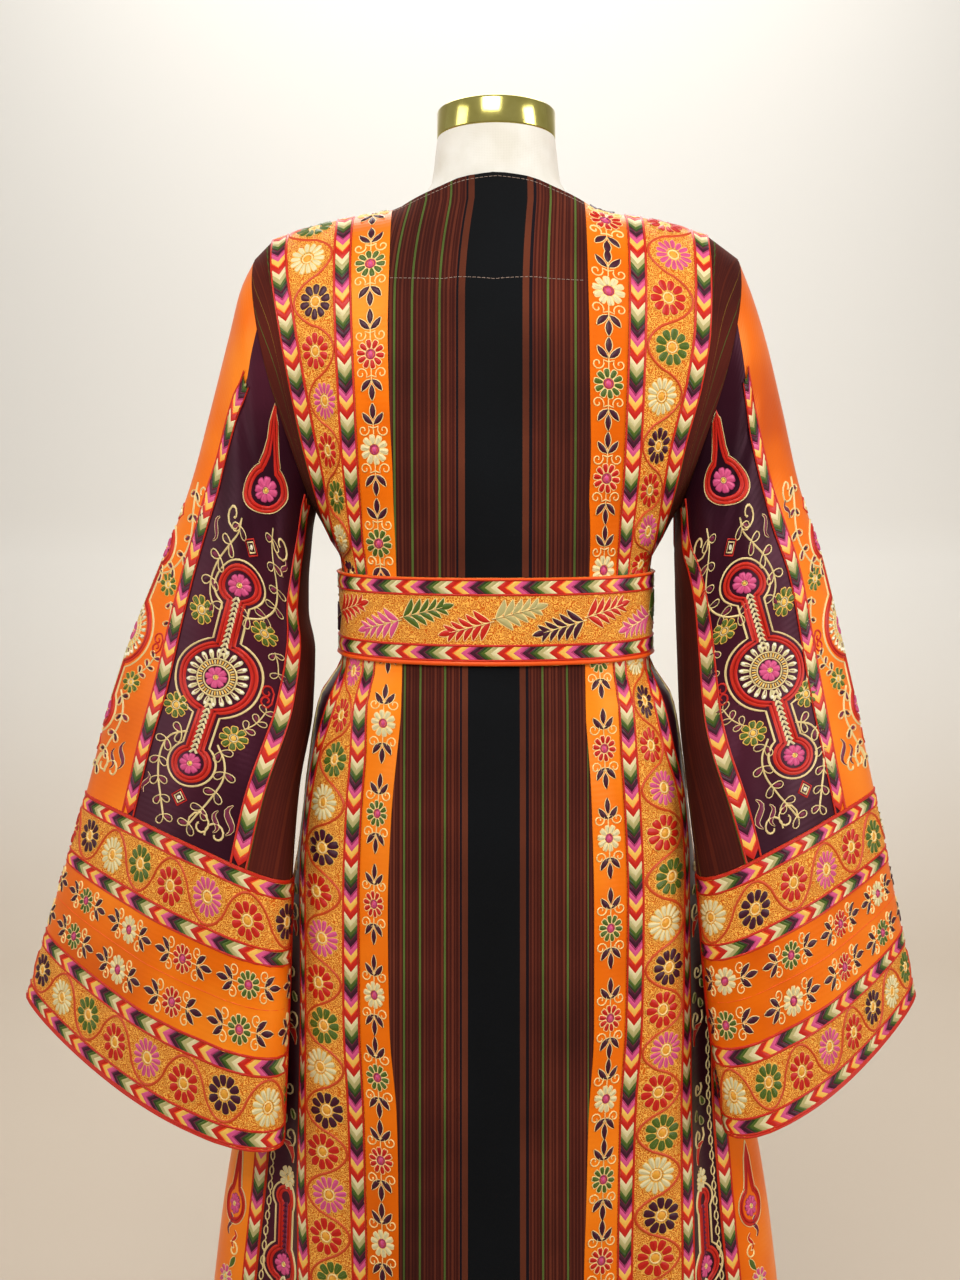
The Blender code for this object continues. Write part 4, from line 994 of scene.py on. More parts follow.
# %% Striped cloth
STRIPE_PITCH = 0.0034     # from one fine rust stripe to the next
STRIPE_SPAN = 0.25        # the ramp covers this much cloth, centred on 0
STRIPE_LEAN, STRIPE_SPREAD = 0.0070, 0.075  # how the stripes shift over the shoulders
STRIPE_NARROW = 1.10      # below the waist the stripes lie closer together by this
MAIN_STRIPES = (          # edge in millimetres from the middle, colour from there on
    (-125, "#46160C"), (-92.3, "#5A6E30"), (-90.5, "#46160C"), (-76.6, "#5A6E30"),
    (-74.8, "#46160C"), (-52.4, "#5A6E30"), (-50.6, "#46160C"), (-36.8, "#120A12"),
    (-34.2, "#66301C"), (-31.9, "#30120C"), (-31.3, "#66301C"), (-29, "#06080B"),
    (22.3, "#66301C"), (24.6, "#30120C"), (25.2, "#66301C"), (27.6, "#120A12"),
    (30.6, "#46160C"), (43.4, "#5A6E30"), (45.2, "#46160C"), (68.2, "#5A6E30"),
    (70, "#46160C"), (88, "#5A6E30"), (89.8, "#46160C"),
)
SIDE_STRIPES = (          # the same cloth cut without its black stripe
    (-125, "#50180E"), (-92, "#4E6428"), (-90, "#50180E"), (-58, "#642413"), (-54, "#50180E"),
    (-30, "#9A7A2C"), (-28.6, "#50180E"), (6, "#4E6428"), (8, "#50180E"), (34, "#642413"),
    (38, "#50180E"), (60, "#9A7A2C"), (61.4, "#50180E"), (92, "#4E6428"), (94, "#50180E"),
)
SATIN_RIBS = 1250.0 / (2 * math.pi) / 3.3  # as a wave's scale this draws a rib each 5.2 mm
GROUND_LOOP = 330.0       # scallops of the couched ground, in each metre
GROUND_RINGS = 16.0       # how closely rings follow each other in a scallop


def striped_cloth(name, stripes, fine_colour):
    """Brushed velvet: rough, with a soft sheen that lights its edges; fine stripes of uneven
    strength over the main ones, and a nap as fine bump."""
    made = Finish(name)
    flat = made.flat()
    across = made.node("SeparateXYZ", Vector=flat).outputs["X"]
    share = made.math("FRACT", made.math("MULTIPLY_ADD", across, 1 / STRIPE_SPAN, 0.5))
    stops = [(0.5 + edge / 1000 / STRIPE_SPAN, colour) for edge, colour in stripes]
    main = made.ramp(share, stops, "CONSTANT")
    count = made.math("DIVIDE", across, STRIPE_PITCH)
    chance = made.node("TexWhiteNoise", noise_dimensions="1D",
                       W=made.math("FLOOR", count)).outputs["Value"]
    wide = made.math("MULTIPLY_ADD", chance, 0.45, 0.22)
    on = made.math("LESS_THAN", made.math("FRACT", count), wide)
    strength = made.math("MULTIPLY", on, made.math("MULTIPLY_ADD", chance, 0.6, 0.25))
    plain = stripes[0][1]
    on_plain = made.ramp(share, [(stop, "#FFFFFF" if colour == plain else "#000000")
                                 for stop, colour in stops], "CONSTANT")
    fine = made.node("Mix", data_type="RGBA", _0=made.math("MULTIPLY", strength, on_plain),
                     _6=main, _7=linear(fine_colour)).outputs[2]
    wear = made.ramp(made.noise(9.0, 4.0, made.place()), ((0.3, "#B9B0AC"), (0.7, "#FFFFFF")))
    colour = made.node("Mix", data_type="RGBA", blend_type="MULTIPLY", _0=1.0, _6=fine, _7=wear)
    nap = made.noise(1400.0, 2.0, flat)
    return made.shade(Base_Color=colour.outputs[2], Normal=made.bump(0.35, 0.0006, nap),
                      Roughness=0.85, Specular_IOR_Level=0.15, Sheen_Weight=0.10,
                      Sheen_Roughness=0.35, Sheen_Tint=linear("#C87A58"))


def satin(name, base, light, dark, gloss_colour, roughness):
    """Silk satin: smooth warp floats that gloss along the cloth, soft colour drift, soft ribs
    across. Light that glances off it takes the silk's own colour."""
    made = Finish(name)
    place = made.place()
    drift = made.noise(6.0, 3.0, place)
    ribs = made.wave("Y", SATIN_RIBS, 0.6, 2.0, made.flat())
    soft = made.noise(60.0, 3.0, place)
    return made.shade(
        Base_Color=made.ramp(drift, ((0.30, dark), (0.50, base), (0.72, light))),
        Roughness=made.between(roughness - 0.06, roughness + 0.08, soft),
        Normal=made.bump(0.15, 0.0003, ribs, Normal=made.bump(0.12, 0.0015, soft)),
        Specular_Tint=linear(gloss_colour))


def couched_ground(name, base, light, dark):
    """The ground between the flowers, filled solid with looped couching in silk cord: rows of
    small scallops, raised and a little uneven. Its colour follows the loops' height: painted
    shade in the hollows between them and a painted highlight on their crests."""
    made = Finish(name)
    flat = made.flat()
    wander = made.node("TexNoise", Scale=90.0, Detail=1.0, Vector=flat).outputs["Color"]
    uneven = made.node("Mix", data_type="VECTOR", _0=0.006, _4=flat, _5=wander).outputs[1]
    loops = made.node("TexVoronoi", feature="F1", Scale=GROUND_LOOP, Vector=uneven)
    rings = made.math("SINE", made.math("MULTIPLY", loops.outputs["Distance"], GROUND_RINGS))
    height = made.node("MapRange", From_Min=-1.0, From_Max=1.0, Value=rings).outputs[0]
    # The colour ramp over the loops' height paints shade into the hollows and a highlight onto the
    # crests.
    return made.shade(
        Base_Color=made.ramp(height, ((0.05, dark), (0.45, base), (0.9, light))),
        Normal=made.bump(0.7, 0.0008, height), Roughness=0.55, Specular_Tint=linear("#FFC070"))


STRIPED = striped_cloth("striped_velvet", MAIN_STRIPES, "#743420")
STRIPED_SIDE = striped_cloth("striped_velvet_side", SIDE_STRIPES, "#5E2012")
ORANGE = satin("orange_satin", "#E86A08", "#F98A1C", "#C84E04", "#FFB060", 0.36)
AUBERGINE = satin("aubergine_satin", "#2E0E18", "#451A26", "#1C0810", "#A06078", 0.38)
# Its light and dark colours are a painted highlight on the loops' crests and painted shade in their
# hollows.
DAISY_GROUND = couched_ground("couched_gold_ground", "#EE9230", "#FABA52", "#C85812")
print("materials:", len(bpy.data.materials))

# %% [markdown]
# ## The dress form's own finishes
# Natural linen is stretched over the form; its neck is closed with a polished brass cap, and the
# stand is brushed steel.

# %% Linen, brass and steel
LINEN_SCALE = 1400.0 / 6.3  # as a wave's scale this draws a thread each 1.4 mm


def metal(name, scale, detail, stretch, gloss, colours):
    """A metal whose gloss and colour both follow one noise, drawn together along z."""
    made = Finish(name)
    place = made.place()
    if stretch:
        place = made.node("Mapping", Scale=(1.0, 1.0, stretch), Vector=place).outputs[0]
    mottle = made.noise(scale, detail, place)
    return made.shade(Base_Color=made.ramp(mottle, tuple(zip((0.3, 0.7), colours))),
                      Roughness=made.between(*gloss, mottle), Metallic=1.0)


made = Finish("bleached_linen")
place = made.place()
weave = made.math("MAXIMUM", *(made.wave(axis, LINEN_SCALE, 1.2, 1.0, place) for axis in "XZ"))
slub = made.ramp(made.noise(35.0, 4.0, place), ((0.3, "#D6CFC0"), (0.7, "#E2DDD2")))
LINEN = made.shade(Base_Color=slub, Normal=made.bump(0.3, 0.0004, weave), Roughness=0.85)
BRASS = metal("polished_brass", 40.0, 3.0, 0.0, (0.10, 0.20), ("#BDB05A", "#D2C673"))
STEEL = metal("brushed_steel", 60.0, 2.0, 30.0, (0.28, 0.42), ("#A9AAAC", "#C2C3C4"))
print("materials:", len(bpy.data.materials))

# %% [markdown]
# ## The form
# The torso, shoulders and neck are one loft of level rings. Under the dress it follows the
# cloth's own section from inside, so that the cloth lies on it.

# %% The form's torso, cap and stand
FORM = Table(
    "height half_width back_depth front_depth",
    (0.800, 0.148, 0.098, 0.098),
    (0.860, 0.154, 0.107, 0.104),
    (0.930, 0.149, 0.105, 0.101),
    (1.000, 0.137, 0.098, 0.094),
    (1.060, 0.135, 0.096, 0.094),
    (1.110, 0.141, 0.098, 0.102),
    (1.150, 0.153, 0.100, 0.111),
    (1.200, 0.168, 0.098, 0.113),
)
FORM_TOP = Table(
    "height half_width",
    (1.200, 0.1680),
    (1.260, 0.1850),
    (1.310, 0.1950),
    (1.345, 0.1980),
    (1.364, 0.1960),
    (1.376, 0.1900),
    (1.386, 0.1780),
    (1.395, 0.1600),
    (1.4014, 0.1440),
    (1.404, 0.0880),
    (1.424, 0.0665),
)
FORM_INSET = 0.0100       # the shoulders lie this far inside the cloth, front and back
FORM_RISE = 0.005         # measured on the cloth's section this much higher
FORM_RIDGE = 0.005        # least half depth, along the top
FORM_CORNER = 5.0         # power that rounds the shoulders' ends
FORM_COLUMNS = 96
NECK_TABLE = Table("height radius", (1.438, 0.0600), (1.450, 0.0578), (1.465, 0.0562),
                   (1.4775, 0.0545))
NECK_MIDDLE = 0.008       # y of the neck's axis
CAP_TILT = math.radians(7.0)
CAP_BASE = 1.4778         # height of its underside, where the neck's axis meets it
CAP_RADIUS = 0.0548


def form_ring(z):
    """One level ring of the form: an ellipse in the torso, a squared section that follows the
    cloth from inside over the shoulders, and a circle on the neck."""
    turn = np.linspace(0.0, 2 * math.pi, FORM_COLUMNS + 1)[:-1]
    if z > FORM_TOP.rows[-1, 0]:
        radius = NECK_TABLE("radius", z)
        return np.stack([radius * np.sin(turn), NECK_MIDDLE - radius * np.cos(turn),
                         np.full_like(turn, z)], axis=-1)
    if z <= CHEST:
        wide = FORM("half_width", z)
        deep = np.where(np.cos(turn) > 0, FORM("back_depth", z), FORM("front_depth", z))
        return np.stack([wide * np.sin(turn), -deep * np.cos(turn), np.full_like(turn, z)], axis=-1)
    x = FORM_TOP("half_width", z) * np.sin(turn)
    front = np.cos(turn) < 0
    above = np.full_like(x, z + FORM_RISE)
    under = np.where(front, body_point(angle_at(x, z, True), above)[:, 1],
                     -body_point(angle_at(x, z, False), above)[:, 1])
    full = np.maximum(under - FORM_INSET, FORM_RIDGE)
    rounded = (1 - np.abs(np.sin(turn)) ** FORM_CORNER) ** (1 / FORM_CORNER)
    y = np.where(front, 1, -1) * full * rounded
    return np.stack([x, y, np.full_like(turn, z)], axis=-1)


heights = np.concatenate([np.linspace(FORM.rows[0, 0], CHEST, 24),
                          np.linspace(CHEST, 1.395, 22)[1:], (1.4014, 1.404, 1.410, 1.417, 1.424),
                          NECK_TABLE.rows[:, 0]])
rings = np.stack([form_ring(z) for z in heights])
rings[-1, :, 2] -= (rings[-1, :, 1] - NECK_MIDDLE) * math.tan(CAP_TILT)
rows = len(heights)
foot, crown = rings[0].mean(axis=0), rings[-1].mean(axis=0)
rings = np.concatenate([foot + (rings[:1] - foot) * 0.02, rings,
                        crown + (rings[-1:] - crown) * 0.02])
quads = grid_faces(len(rings), FORM_COLUMNS, True)
if signed_volume(rings.reshape(-1, 3), quads) < 0:
    quads = quads[:, ::-1]
torso = new_mesh("form_body", rings.reshape(-1, 3), quads, [LINEN], sharp=EDGE_ANGLE)
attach(torso, "root")
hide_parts("form_torso")

CAP_PROFILE = ((0.0, 0.0280), (0.014, 0.0279), (0.030, 0.0275), (0.044, 0.0268), (0.0515, 0.0259),
               (0.0536, 0.0253), (0.0545, 0.0243), (CAP_RADIUS, 0.0232), (CAP_RADIUS, 0.0016),
               (0.0545, 0.0006), (0.0538, 0.0), (0.0, 0.0))
cap = turned("neck_cap", CAP_PROFILE, BRASS, tilt=CAP_TILT, middle=(0.0, NECK_MIDDLE, CAP_BASE))
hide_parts("form_neck_cap")

STAND_PROFILE = ((0.0, 0.7997), (0.0140, 0.7997), (0.0150, 0.7987), (0.0150, 0.0340),
                 (0.0160, 0.0300), (0.0195, 0.0250), (0.0240, 0.0205), (0.0300, 0.0180),
                 (0.1000, 0.0158), (0.1560, 0.0140), (0.1585, 0.0128), (0.1600, 0.0100),
                 (0.1600, 0.0010), (0.1590, 0.0), (0.0, 0.0))
stand = turned("stand_pole_and_foot", STAND_PROFILE, STEEL)
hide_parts("form_stand")
print("form rings:", rows)

# %% [markdown]
# ## Hanging the cloth
# Every cut piece becomes a wall in its own cloth.

# %% Cloth pieces
WAIST_LINE = 1.04         # it lies under the belt
LEAN_FROM, LEAN_OVER = 1.325, 0.09  # the stripes shift from this height on, over this much
FINISHES = (              # part of a node's name, material, record slot
    ("panel", STRIPED_SIDE, "striped_cloth"),
    ("flower_band", ORANGE, "orange_satin"),
    ("daisy_band", DAISY_GROUND, "embroidered_band"),
    ("aubergine_gore", AUBERGINE, "aubergine_satin"),
    ("orange_gore", ORANGE, "orange_satin"),
    ("sleeve_top", ORANGE, "orange_satin"),
    ("sleeve_back", AUBERGINE, "aubergine_satin"),
    ("sleeve_under", STRIPED_SIDE, "striped_cloth"),
    ("sleeve_front", AUBERGINE, "aubergine_satin"),
    ("cuff", DAISY_GROUND, "embroidered_band"),
    ("belt", DAISY_GROUND, "embroidered_band"),
)
for name, cut in cuts.items():
    finish = next((material, slot) for part, material, slot in FINISHES if part in name)
    main_panel = name in ("back_panel", "front_panel")
    material = STRIPED if main_panel else finish[0]
    thickness = {"belt": BELT_THICKNESS, "cuff_left": 0.0020, "cuff_right": 0.0020}.get(name, CLOTH)
    across = None
    if main_panel:
        across = cut.points[..., 0] * (1 if name == "back_panel" else -1)
        lean = np.clip((cut.points[..., 2] - LEAN_FROM) / LEAN_OVER, 0.0, 1.0) ** 2
        across = across - lean * (STRIPE_LEAN - STRIPE_SPREAD * across)
        across = across * np.where(cut.points[..., 2] < WAIST_LINE, STRIPE_NARROW, 1.0)
    satin_rows = None
    if name.startswith("cuff"):
        middle_share = (CUFF_SHARES[1:] + CUFF_SHARES[:-1]) / 2
        satin_rows = ((middle_share > CUFF_SATIN[0]) & (middle_share < CUFF_SATIN[1])).astype(int)
    made = cloth_wall(name + "_cloth", cut, [material, ORANGE][:1 if satin_rows is None else 2],
                      thickness, across, satin_rows)
    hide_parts(name)

# %% [markdown]
# ## Silk threads
# The embroidery is floss silk in satin stitch and couched cord. Every colour is a silk of its
# own: smooth, with a soft gloss that turns with the light, and fine fibres as bump.

# %% Thread materials
THREADS = {
    "cream": "#DCCB98", "white": "#F2EAD0", "sage": "#B0A268", "gold": "#DE9A30",
    "amber": "#F2B24E", "red": "#BE1C0C", "brick": "#9C120C", "orange": "#EC5510",
    "plum": "#3E0C20", "wine": "#6A1434", "green": "#4A5E18", "moss": "#2C3C10",
    "pink": "#D04E7C", "rose": "#A83060", "cord_red": "#C4260F", "vine": "#E2C88A",
    "maize": "#EBB54E", "straw": "#F6D48C", "cord_brown": "#C8461A", "tacking": "#9C8474",
}
THREAD_NAMES = list(THREADS)
FIBRE = 0.0009            # silk fibres are drawn this coarse, so that they show at all


def silk(name, colour):
    """Floss silk: a smooth thread with a broad highlight that takes part of its colour."""
    made = Finish("silk_" + name)
    fibre = made.noise(1 / FIBRE, 1.0, made.place())
    tint = [0.5 + 0.5 * part for part in linear(colour)[:3]] + [1.0]
    return made.shade(Base_Color=linear(colour), Normal=made.bump(0.25, 0.0003, fibre),
                      Roughness=0.42, Specular_Tint=tint)


SILKS = [silk(name, colour) for name, colour in THREADS.items()]
print("silks:", len(SILKS))

# %% [markdown]
# ## Stitches, motifs and lanes
# All of the embroidery is made from one thing: a raised line of stitches along a path, wide or
# narrow, high or low. A petal is a short line that swells, a cord is a long thin one, a dot is a
# line as short as it is wide. Lines make a motif, laid out flat in metres; a motif is repeated
# along a lane, which is a strip of the cut piece; and the piece's own grid carries it to its
# place on the dress. Repeating one motif by arithmetic on arrays keeps this quick.

# %% Motifs
SINK = 0.0004             # a stitch's edges lie this deep in the cloth, so that no gap shows
PETAL, SHADE = 100, 101   # stand for the colours that change from one flower to the next
CURL_POINTS = 14


def thread(name):
    """A silk's number, or the stand-in for a colour that changes."""
    return {"petal": PETAL, "shade": SHADE}.get(name) or THREAD_NAMES.index(name)


class Motif:
    """Lines of stitches laid out flat: x along the lane, y across it, and height off the cloth."""

    def __init__(self):
        self.points, self.quads, self.threads, self.count = [], [], [], 0

    def line(self, path, width, height, colour, edge=-SINK):
        """A raised line along a path of (x, y) points: three points across, the middle one high
        and the others at the edge's height. width and height are one for all points or one each."""
        path = np.asarray(path, dtype=float)
        n = len(path)
        heading = np.gradient(path, axis=0)
        heading /= np.maximum(np.linalg.norm(heading, axis=1, keepdims=True), 1e-9)
        half_width = np.broadcast_to(width, n)[:, None] / 2
        side = np.stack([-heading[:, 1], heading[:, 0]], axis=1) * half_width
        grid = np.empty((n, 3, 3))
        grid[:, 0, :2], grid[:, 1, :2], grid[:, 2, :2] = path + side, path, path - side
        grid[:, 0, 2] = grid[:, 2, 2] = edge
        grid[:, 1, 2] = height
        return self.grid(grid, colour)

    def grid(self, grid, colour):
        """A grid of points as one patch of stitches."""
        faces = grid_faces(*grid.shape[:2], False)
        return self.add(grid.reshape(-1, 3), faces, np.full(len(faces), thread(colour)))

    def add(self, points, quads, threads):
        """Takes in arrays, such as another motif's."""
        self.points.append(points)
        self.quads.append(quads + self.count)
        self.threads.append(threads)
        self.count += len(points)
        return self

    def arrays(self):
        return np.concatenate(self.points), np.concatenate(self.quads), np.concatenate(self.threads)


def spoke(angle, start, end, points=5):
    """Points on a straight line outwards at an angle, from one radius to another."""
    return np.linspace(start, end, points)[:, None] * np.array((math.cos(angle), math.sin(angle)))


def arc(radius, first, last, points, middle=(0.0, 0.0)):
    """Points on a circle's arc, by angle in radians."""
    turn = np.linspace(first, last, points)
    return np.stack([np.cos(turn), np.sin(turn)], axis=1) * radius + np.array(middle)


def curl(start, end, turns):
    """A scroll: a line whose heading turns faster and faster, fitted from start to its eye at
    end. It is a spiral arm whose radius shrinks evenly to a sixth."""
    turn = np.linspace(0.0, turns * 2 * math.pi, CURL_POINTS)
    radius = np.linspace(1.0, 0.16, CURL_POINTS)
    spiral = np.stack([np.cos(turn) * radius, np.sin(turn) * radius], axis=1)
    reach = np.array(start, dtype=float) - np.array(end, dtype=float)
    turned = np.stack([spiral[:, 0] * reach[0] - spiral[:, 1] * reach[1],
                       spiral[:, 0] * reach[1] + spiral[:, 1] * reach[0]], axis=1)
    return turned + np.array(end)


LEAF_SWELL = np.array((0.20, 0.82, 1.0, 0.74, 0.08))
PETAL_SHARES = np.array((0.0, 0.28, 0.62, 0.88, 1.0))
PETAL_SWELL = np.array((0.42, 0.82, 1.0, 0.92, 0.46))
EYE_SWELL = np.array((0.2, 0.8, 1, 0.8, 0.2))
EYE_DOME = np.array((0.4, 1.5, 1.8, 1.5, 0.4)) * 0.001


def petal(made, angle, start, end, wide, rim, middle=(0.0, 0.0), fill="petal", shade="shade"):
    """A petal in satin stitch: blunt outside, narrow at the eye, with a flat rim of pale cord
    round it and a darker line down its middle."""
    out = np.array((math.cos(angle), math.sin(angle)))
    for grow, height, colour, edge in ((0.0006, 0.0006, rim, 0.0002), (0.0, 0.0016, fill, 0.0004)):
        run = start - grow + PETAL_SHARES * (end - start + 2 * grow)
        made.line(run[:, None] * out + middle, wide * PETAL_SWELL + 2 * grow, height, colour, edge)
    run = np.array((start + 0.20 * (end - start), start + 0.80 * (end - start)))
    made.line(run[:, None] * out + middle, wide * 0.14, 0.0018, shade)


def eye(made, radius, ring, fill, middle=(0.0, 0.0)):
    """A flower's eye: a domed disc inside a ring of cord."""
    made.line(arc(radius, 0.0, 2 * math.pi, 13, middle), radius * 0.42, 0.0013, ring)
    run = np.array((-0.84, -0.5, 0.0, 0.5, 0.84)) * radius
    made.line(np.stack([run, 0 * run], axis=1) + middle, radius * 1.7 * EYE_SWELL, EYE_DOME, fill)


def petal_width(radius, petals):
    """Width of petals that would just touch, at 0.72 of the flower's radius."""
    return 2 * math.pi * radius * 0.72 / petals


def daisy(radius, petals, fill):
    """A daisy with a gold eye. fill says how much of the round its petals take up; every second
    petal is a little shorter."""
    made = Motif()
    for k in range(petals):
        petal(made, 2 * math.pi * (k + 0.5) / petals, radius * 0.40,
              radius * (1.0 if k % 2 else 0.96), petal_width(radius, petals) * fill, "maize")
    eye(made, radius * 0.29, "straw", "gold")
    return made


DAISY_RADIUS = 0.0166
FAT_DAISY = daisy(DAISY_RADIUS, 10, 0.92)
RAY_DAISY = daisy(DAISY_RADIUS, 14, 0.84)
DAISY_COLOURS = {         # flower: motif, petal, shade
    "green": (FAT_DAISY, "green", "sage"), "plum": (FAT_DAISY, "plum", "wine"),
    "red": (FAT_DAISY, "red", "brick"), "pink": (RAY_DAISY, "pink", "rose"),
    "cream": (RAY_DAISY, "cream", "sage"),
}


def small_flower(made, radius, petals, rim, fill, x=0.0, y=0.0, ring="cream"):
    """Adds a small flower to a motif."""
    for k in range(petals):
        petal(made, 2 * math.pi * (k + 0.25) / petals, radius * 0.42, radius,
              petal_width(radius, petals) * 0.80, rim, (x, y))
    eye(made, radius * 0.30, ring, fill, (x, y))
    return made


def leaf(made, root, tip, wide, colour, rim=None, bow=0.0):
    """A leaf from root to tip; bow bends it to one side by a share of its length."""
    root, tip = np.array(root, dtype=float), np.array(tip, dtype=float)
    run = np.linspace(0.0, 1.0, 5)[:, None]
    side = np.array((-(tip - root)[1], (tip - root)[0]))
    path = root + run * (tip - root) + bow * np.sin(run * math.pi) * side
    if rim:
        made.line(path, wide * LEAF_SWELL + 0.0013, 0.0006, rim, 0.0002)
    made.line(path, wide * LEAF_SWELL, 0.0015, colour, 0.0003)
    return made


def flower_sprig(reach, radius):
    """One repeat of the orange band: a small flower with a pink eye, two pairs of scrolls, and a
    sprig of three plum leaves before and behind it, whose tip is at reach."""
    made = small_flower(Motif(), radius, 10, "straw", "pink", ring="rose")
    longer = reach - 0.0385
    for way in (-1, 1):
        stem = np.array(((radius + 0.0006, 0.0), (0.0250 + longer, 0.0))) * (way, 1)
        made.line(stem, 0.0014, 0.0011, "straw")
        for hand in (-1, 1):
            scroll = curl((0.0206, 0.0048), (0.0172, 0.0098), -1.2)
            scroll = np.concatenate([[(0.0190, 0.0)], scroll]) * (way, hand)
            made.line(scroll, 0.0015, 0.0012, "straw")
            leaf(made, (way * (0.0200 + longer), hand * 0.0008),
                 (way * (0.0300 + longer), hand * 0.0100), 0.0054, "plum", "straw",
                 0.06 * way * hand)
        leaf(made, (way * (0.0246 + longer), 0.0), (way * reach, 0.0), 0.0058, "plum", "straw")
        vein = [(way * (0.0270 + longer), 0.0), (way * (reach - 0.0030), 0.0)]
        made.line(vein, 0.0008, 0.0018, "wine")
    return made


SPRIG_REPEAT = 0.0780
SPRIG, LONG_SPRIG = flower_sprig(0.0362, 0.0116), flower_sprig(0.0412, 0.0130)
CHEVRON_WIDTH = 0.0124    # between its two pipings
CHEVRON_DROP = 0.0076     # how far the point runs ahead of the ends
CHEVRON_BARS = (          # silk and length along the ribbon in millimetres, from the point on
    ("red", 6.8), ("orange", 1.6), ("maize", 6.6), ("pink", 5.6), ("rose", 2.0), ("plum", 5.2),
    ("wine", 1.4), ("moss", 3.4), ("green", 3.8), ("sage", 5.4), ("cream", 5.6),
)
CHEVRON_PERIOD = sum(bar[1] for bar in CHEVRON_BARS) / 1000


def chevrons(periods):
    """A run of chevrons whose points lie at smaller x. Each bar of satin stitch is a V, five
    points across, a little higher along its middle than where it meets the next."""
    made = Motif()
    across = np.array((-0.5, -0.25, 0.0, 0.25, 0.5))
    lag = np.abs(across) * 2 * CHEVRON_DROP
    height = np.array(((0.0003,), (0.0010,), (0.0003,))) + 0.0003 * (1 - 2 * np.abs(across))
    start = 0.0
    for k in range(periods * len(CHEVRON_BARS)):
        colour, length = CHEVRON_BARS[k % len(CHEVRON_BARS)]
        x = start + np.array((0.0, 0.5, 1.0)) * length / 1000
        grid = np.empty((3, 5, 3))
        grid[..., 0] = x[:, None] + lag
        grid[..., 1] = across * CHEVRON_WIDTH
        grid[..., 2] = height
        made.grid(grid, colour)
        start += length / 1000
    return made


def strip_lane(cut, low, high, nominal, downwards=True):
    """A lane along a piece, between two distances (or functions of distance along) from its
    first column. The lane's x runs down from the top of the piece, or up from its foot."""
    def lane(x, y):
        along = cut.length - x if downwards else x
        near = low(along) if callable(low) else low
        far = high(along) if callable(high) else high
        return along, (near + (y / nominal + 0.5) * (far - near)) / cut.width_at(along)
    return lane


def edge_lane(cut, near, far, nominal, from_last, downwards=True):
    """A lane along one long edge of a piece, between two distances from that edge."""
    if from_last:
        return strip_lane(cut, lambda along: cut.width_at(along) - far,
                          lambda along: cut.width_at(along) - near, nominal, downwards)
    return strip_lane(cut, near, far, nominal, downwards)


def middle_lane(cut):
    """A lane up a piece whose y is the distance from the piece's middle."""
    return strip_lane(cut, lambda along: cut.width_at(along) / 2 - 0.06,
                      lambda along: cut.width_at(along) / 2 + 0.06, 0.12, downwards=False)


def ring_lane(near, far, nominal, start_share, length):
    """A lane round a ring between two distances along it. The lane's x runs round it from
    start_share, one turn in the given length."""
    def lane(x, y):
        along = near + (y / nominal + 0.5) * (far - near)
        return along, start_share + x / length
    return lane


def cord_lane(at, start_share, length):
    """A lane round a ring for a single cord, at one distance along it."""
    return ring_lane(at - CORD_ROOM, at + CORD_ROOM, 2 * CORD_ROOM, start_share, length)


CORD_ROOM = 0.001


class Needlework:
    """Stitches on one cut piece or strip, gathered and then made into one mesh."""

    def __init__(self, name, strip=None):
        self.name, self.cut = name, strip or cuts[name]
        self.flat, self.quads, self.threads, self.count = [], [], [], 0

    def sew(self, motif, lane, places=((0.0, 0.0),), turns=0.0, sizes=1.0, colours=None):
        """Repeats a motif along a lane at (x, y) places, each turned and sized. colours gives
        a (petal, shade) pair for each, in turn."""
        points, quads, threads = motif.arrays() if isinstance(motif, Motif) else motif
        places = np.asarray(places, dtype=float).reshape(-1, 2)
        k = len(places)
        turns = np.broadcast_to(turns, k)[:, None]
        sizes = np.broadcast_to(sizes, k)[:, None]
        x = places[:, :1] + sizes * (points[:, 0] * np.cos(turns) - points[:, 1] * np.sin(turns))
        y = places[:, 1:] + sizes * (points[:, 0] * np.sin(turns) + points[:, 1] * np.cos(turns))
        along, share = lane(x, y)
        height = np.repeat(points[None, :, 2], k, axis=0)
        self.flat.append(np.stack([along, share, height], axis=-1).reshape(-1, 3))
        step = len(points)
        self.quads.append((quads[None] + np.arange(k)[:, None, None] * step).reshape(-1, 4)
                          + self.count)
        repeated = np.repeat(threads[None], k, axis=0)
        if colours is not None:
            pairs = np.array([[thread(c) for c in colours[i % len(colours)]] for i in range(k)])
            repeated = np.where(repeated == PETAL, pairs[:, :1],
                                np.where(repeated == SHADE, pairs[:, 1:], repeated))
        self.threads.append(repeated.ravel())
        self.count += k * step
        return self

    def finish(self, slot, name=None, lift=0.0):
        """One mesh of all stitches, with only the silks that it uses; every face looks out."""
        name = name or self.name + "_embroidery"
        flat, quads = np.concatenate(self.flat), np.concatenate(self.quads)
        threads = np.concatenate(self.threads)
        points, normals = self.cut.at(flat[:, 0], flat[:, 1])
        points = points + normals * (flat[:, 2:] + lift)
        first = points[quads[:, 2]] - points[quads[:, 0]]
        second = points[quads[:, 3]] - points[quads[:, 1]]
        inwards = np.einsum("ij,ij->i", np.cross(first, second), normals[quads[:, 0]]) < 0
        quads = np.where(inwards[:, None], quads[:, ::-1], quads)
        used = np.unique(threads)
        made = new_mesh(name, points, quads, [SILKS[k] for k in used],
                        slots=np.searchsorted(used, threads))
        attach(made, "root")
        print(f"{name}: {len(quads)} faces, {len(used)} silks")

# %% [markdown]
# ## The long bands
# On each side of the striped panel runs an orange satin band of small flowers, and outside it a
# broad band of daisies between two chevron ribbons. A red-brown cord winds between the daisies
# like a vine. The chevrons point down.

# %% Bands of the back and the front
RIBBON = 0.0160           # a chevron ribbon with its piping
PIPING = 0.0024
DAISY_STEP = 0.0445
CORD_STEP = 0.0035        # between two points of a cord that bends


def straight(length, step=0.012):
    """Points of a straight line along a lane."""
    x = np.linspace(0.0, length, int(length / step) + 1)
    return np.stack([x, 0 * x], axis=1)


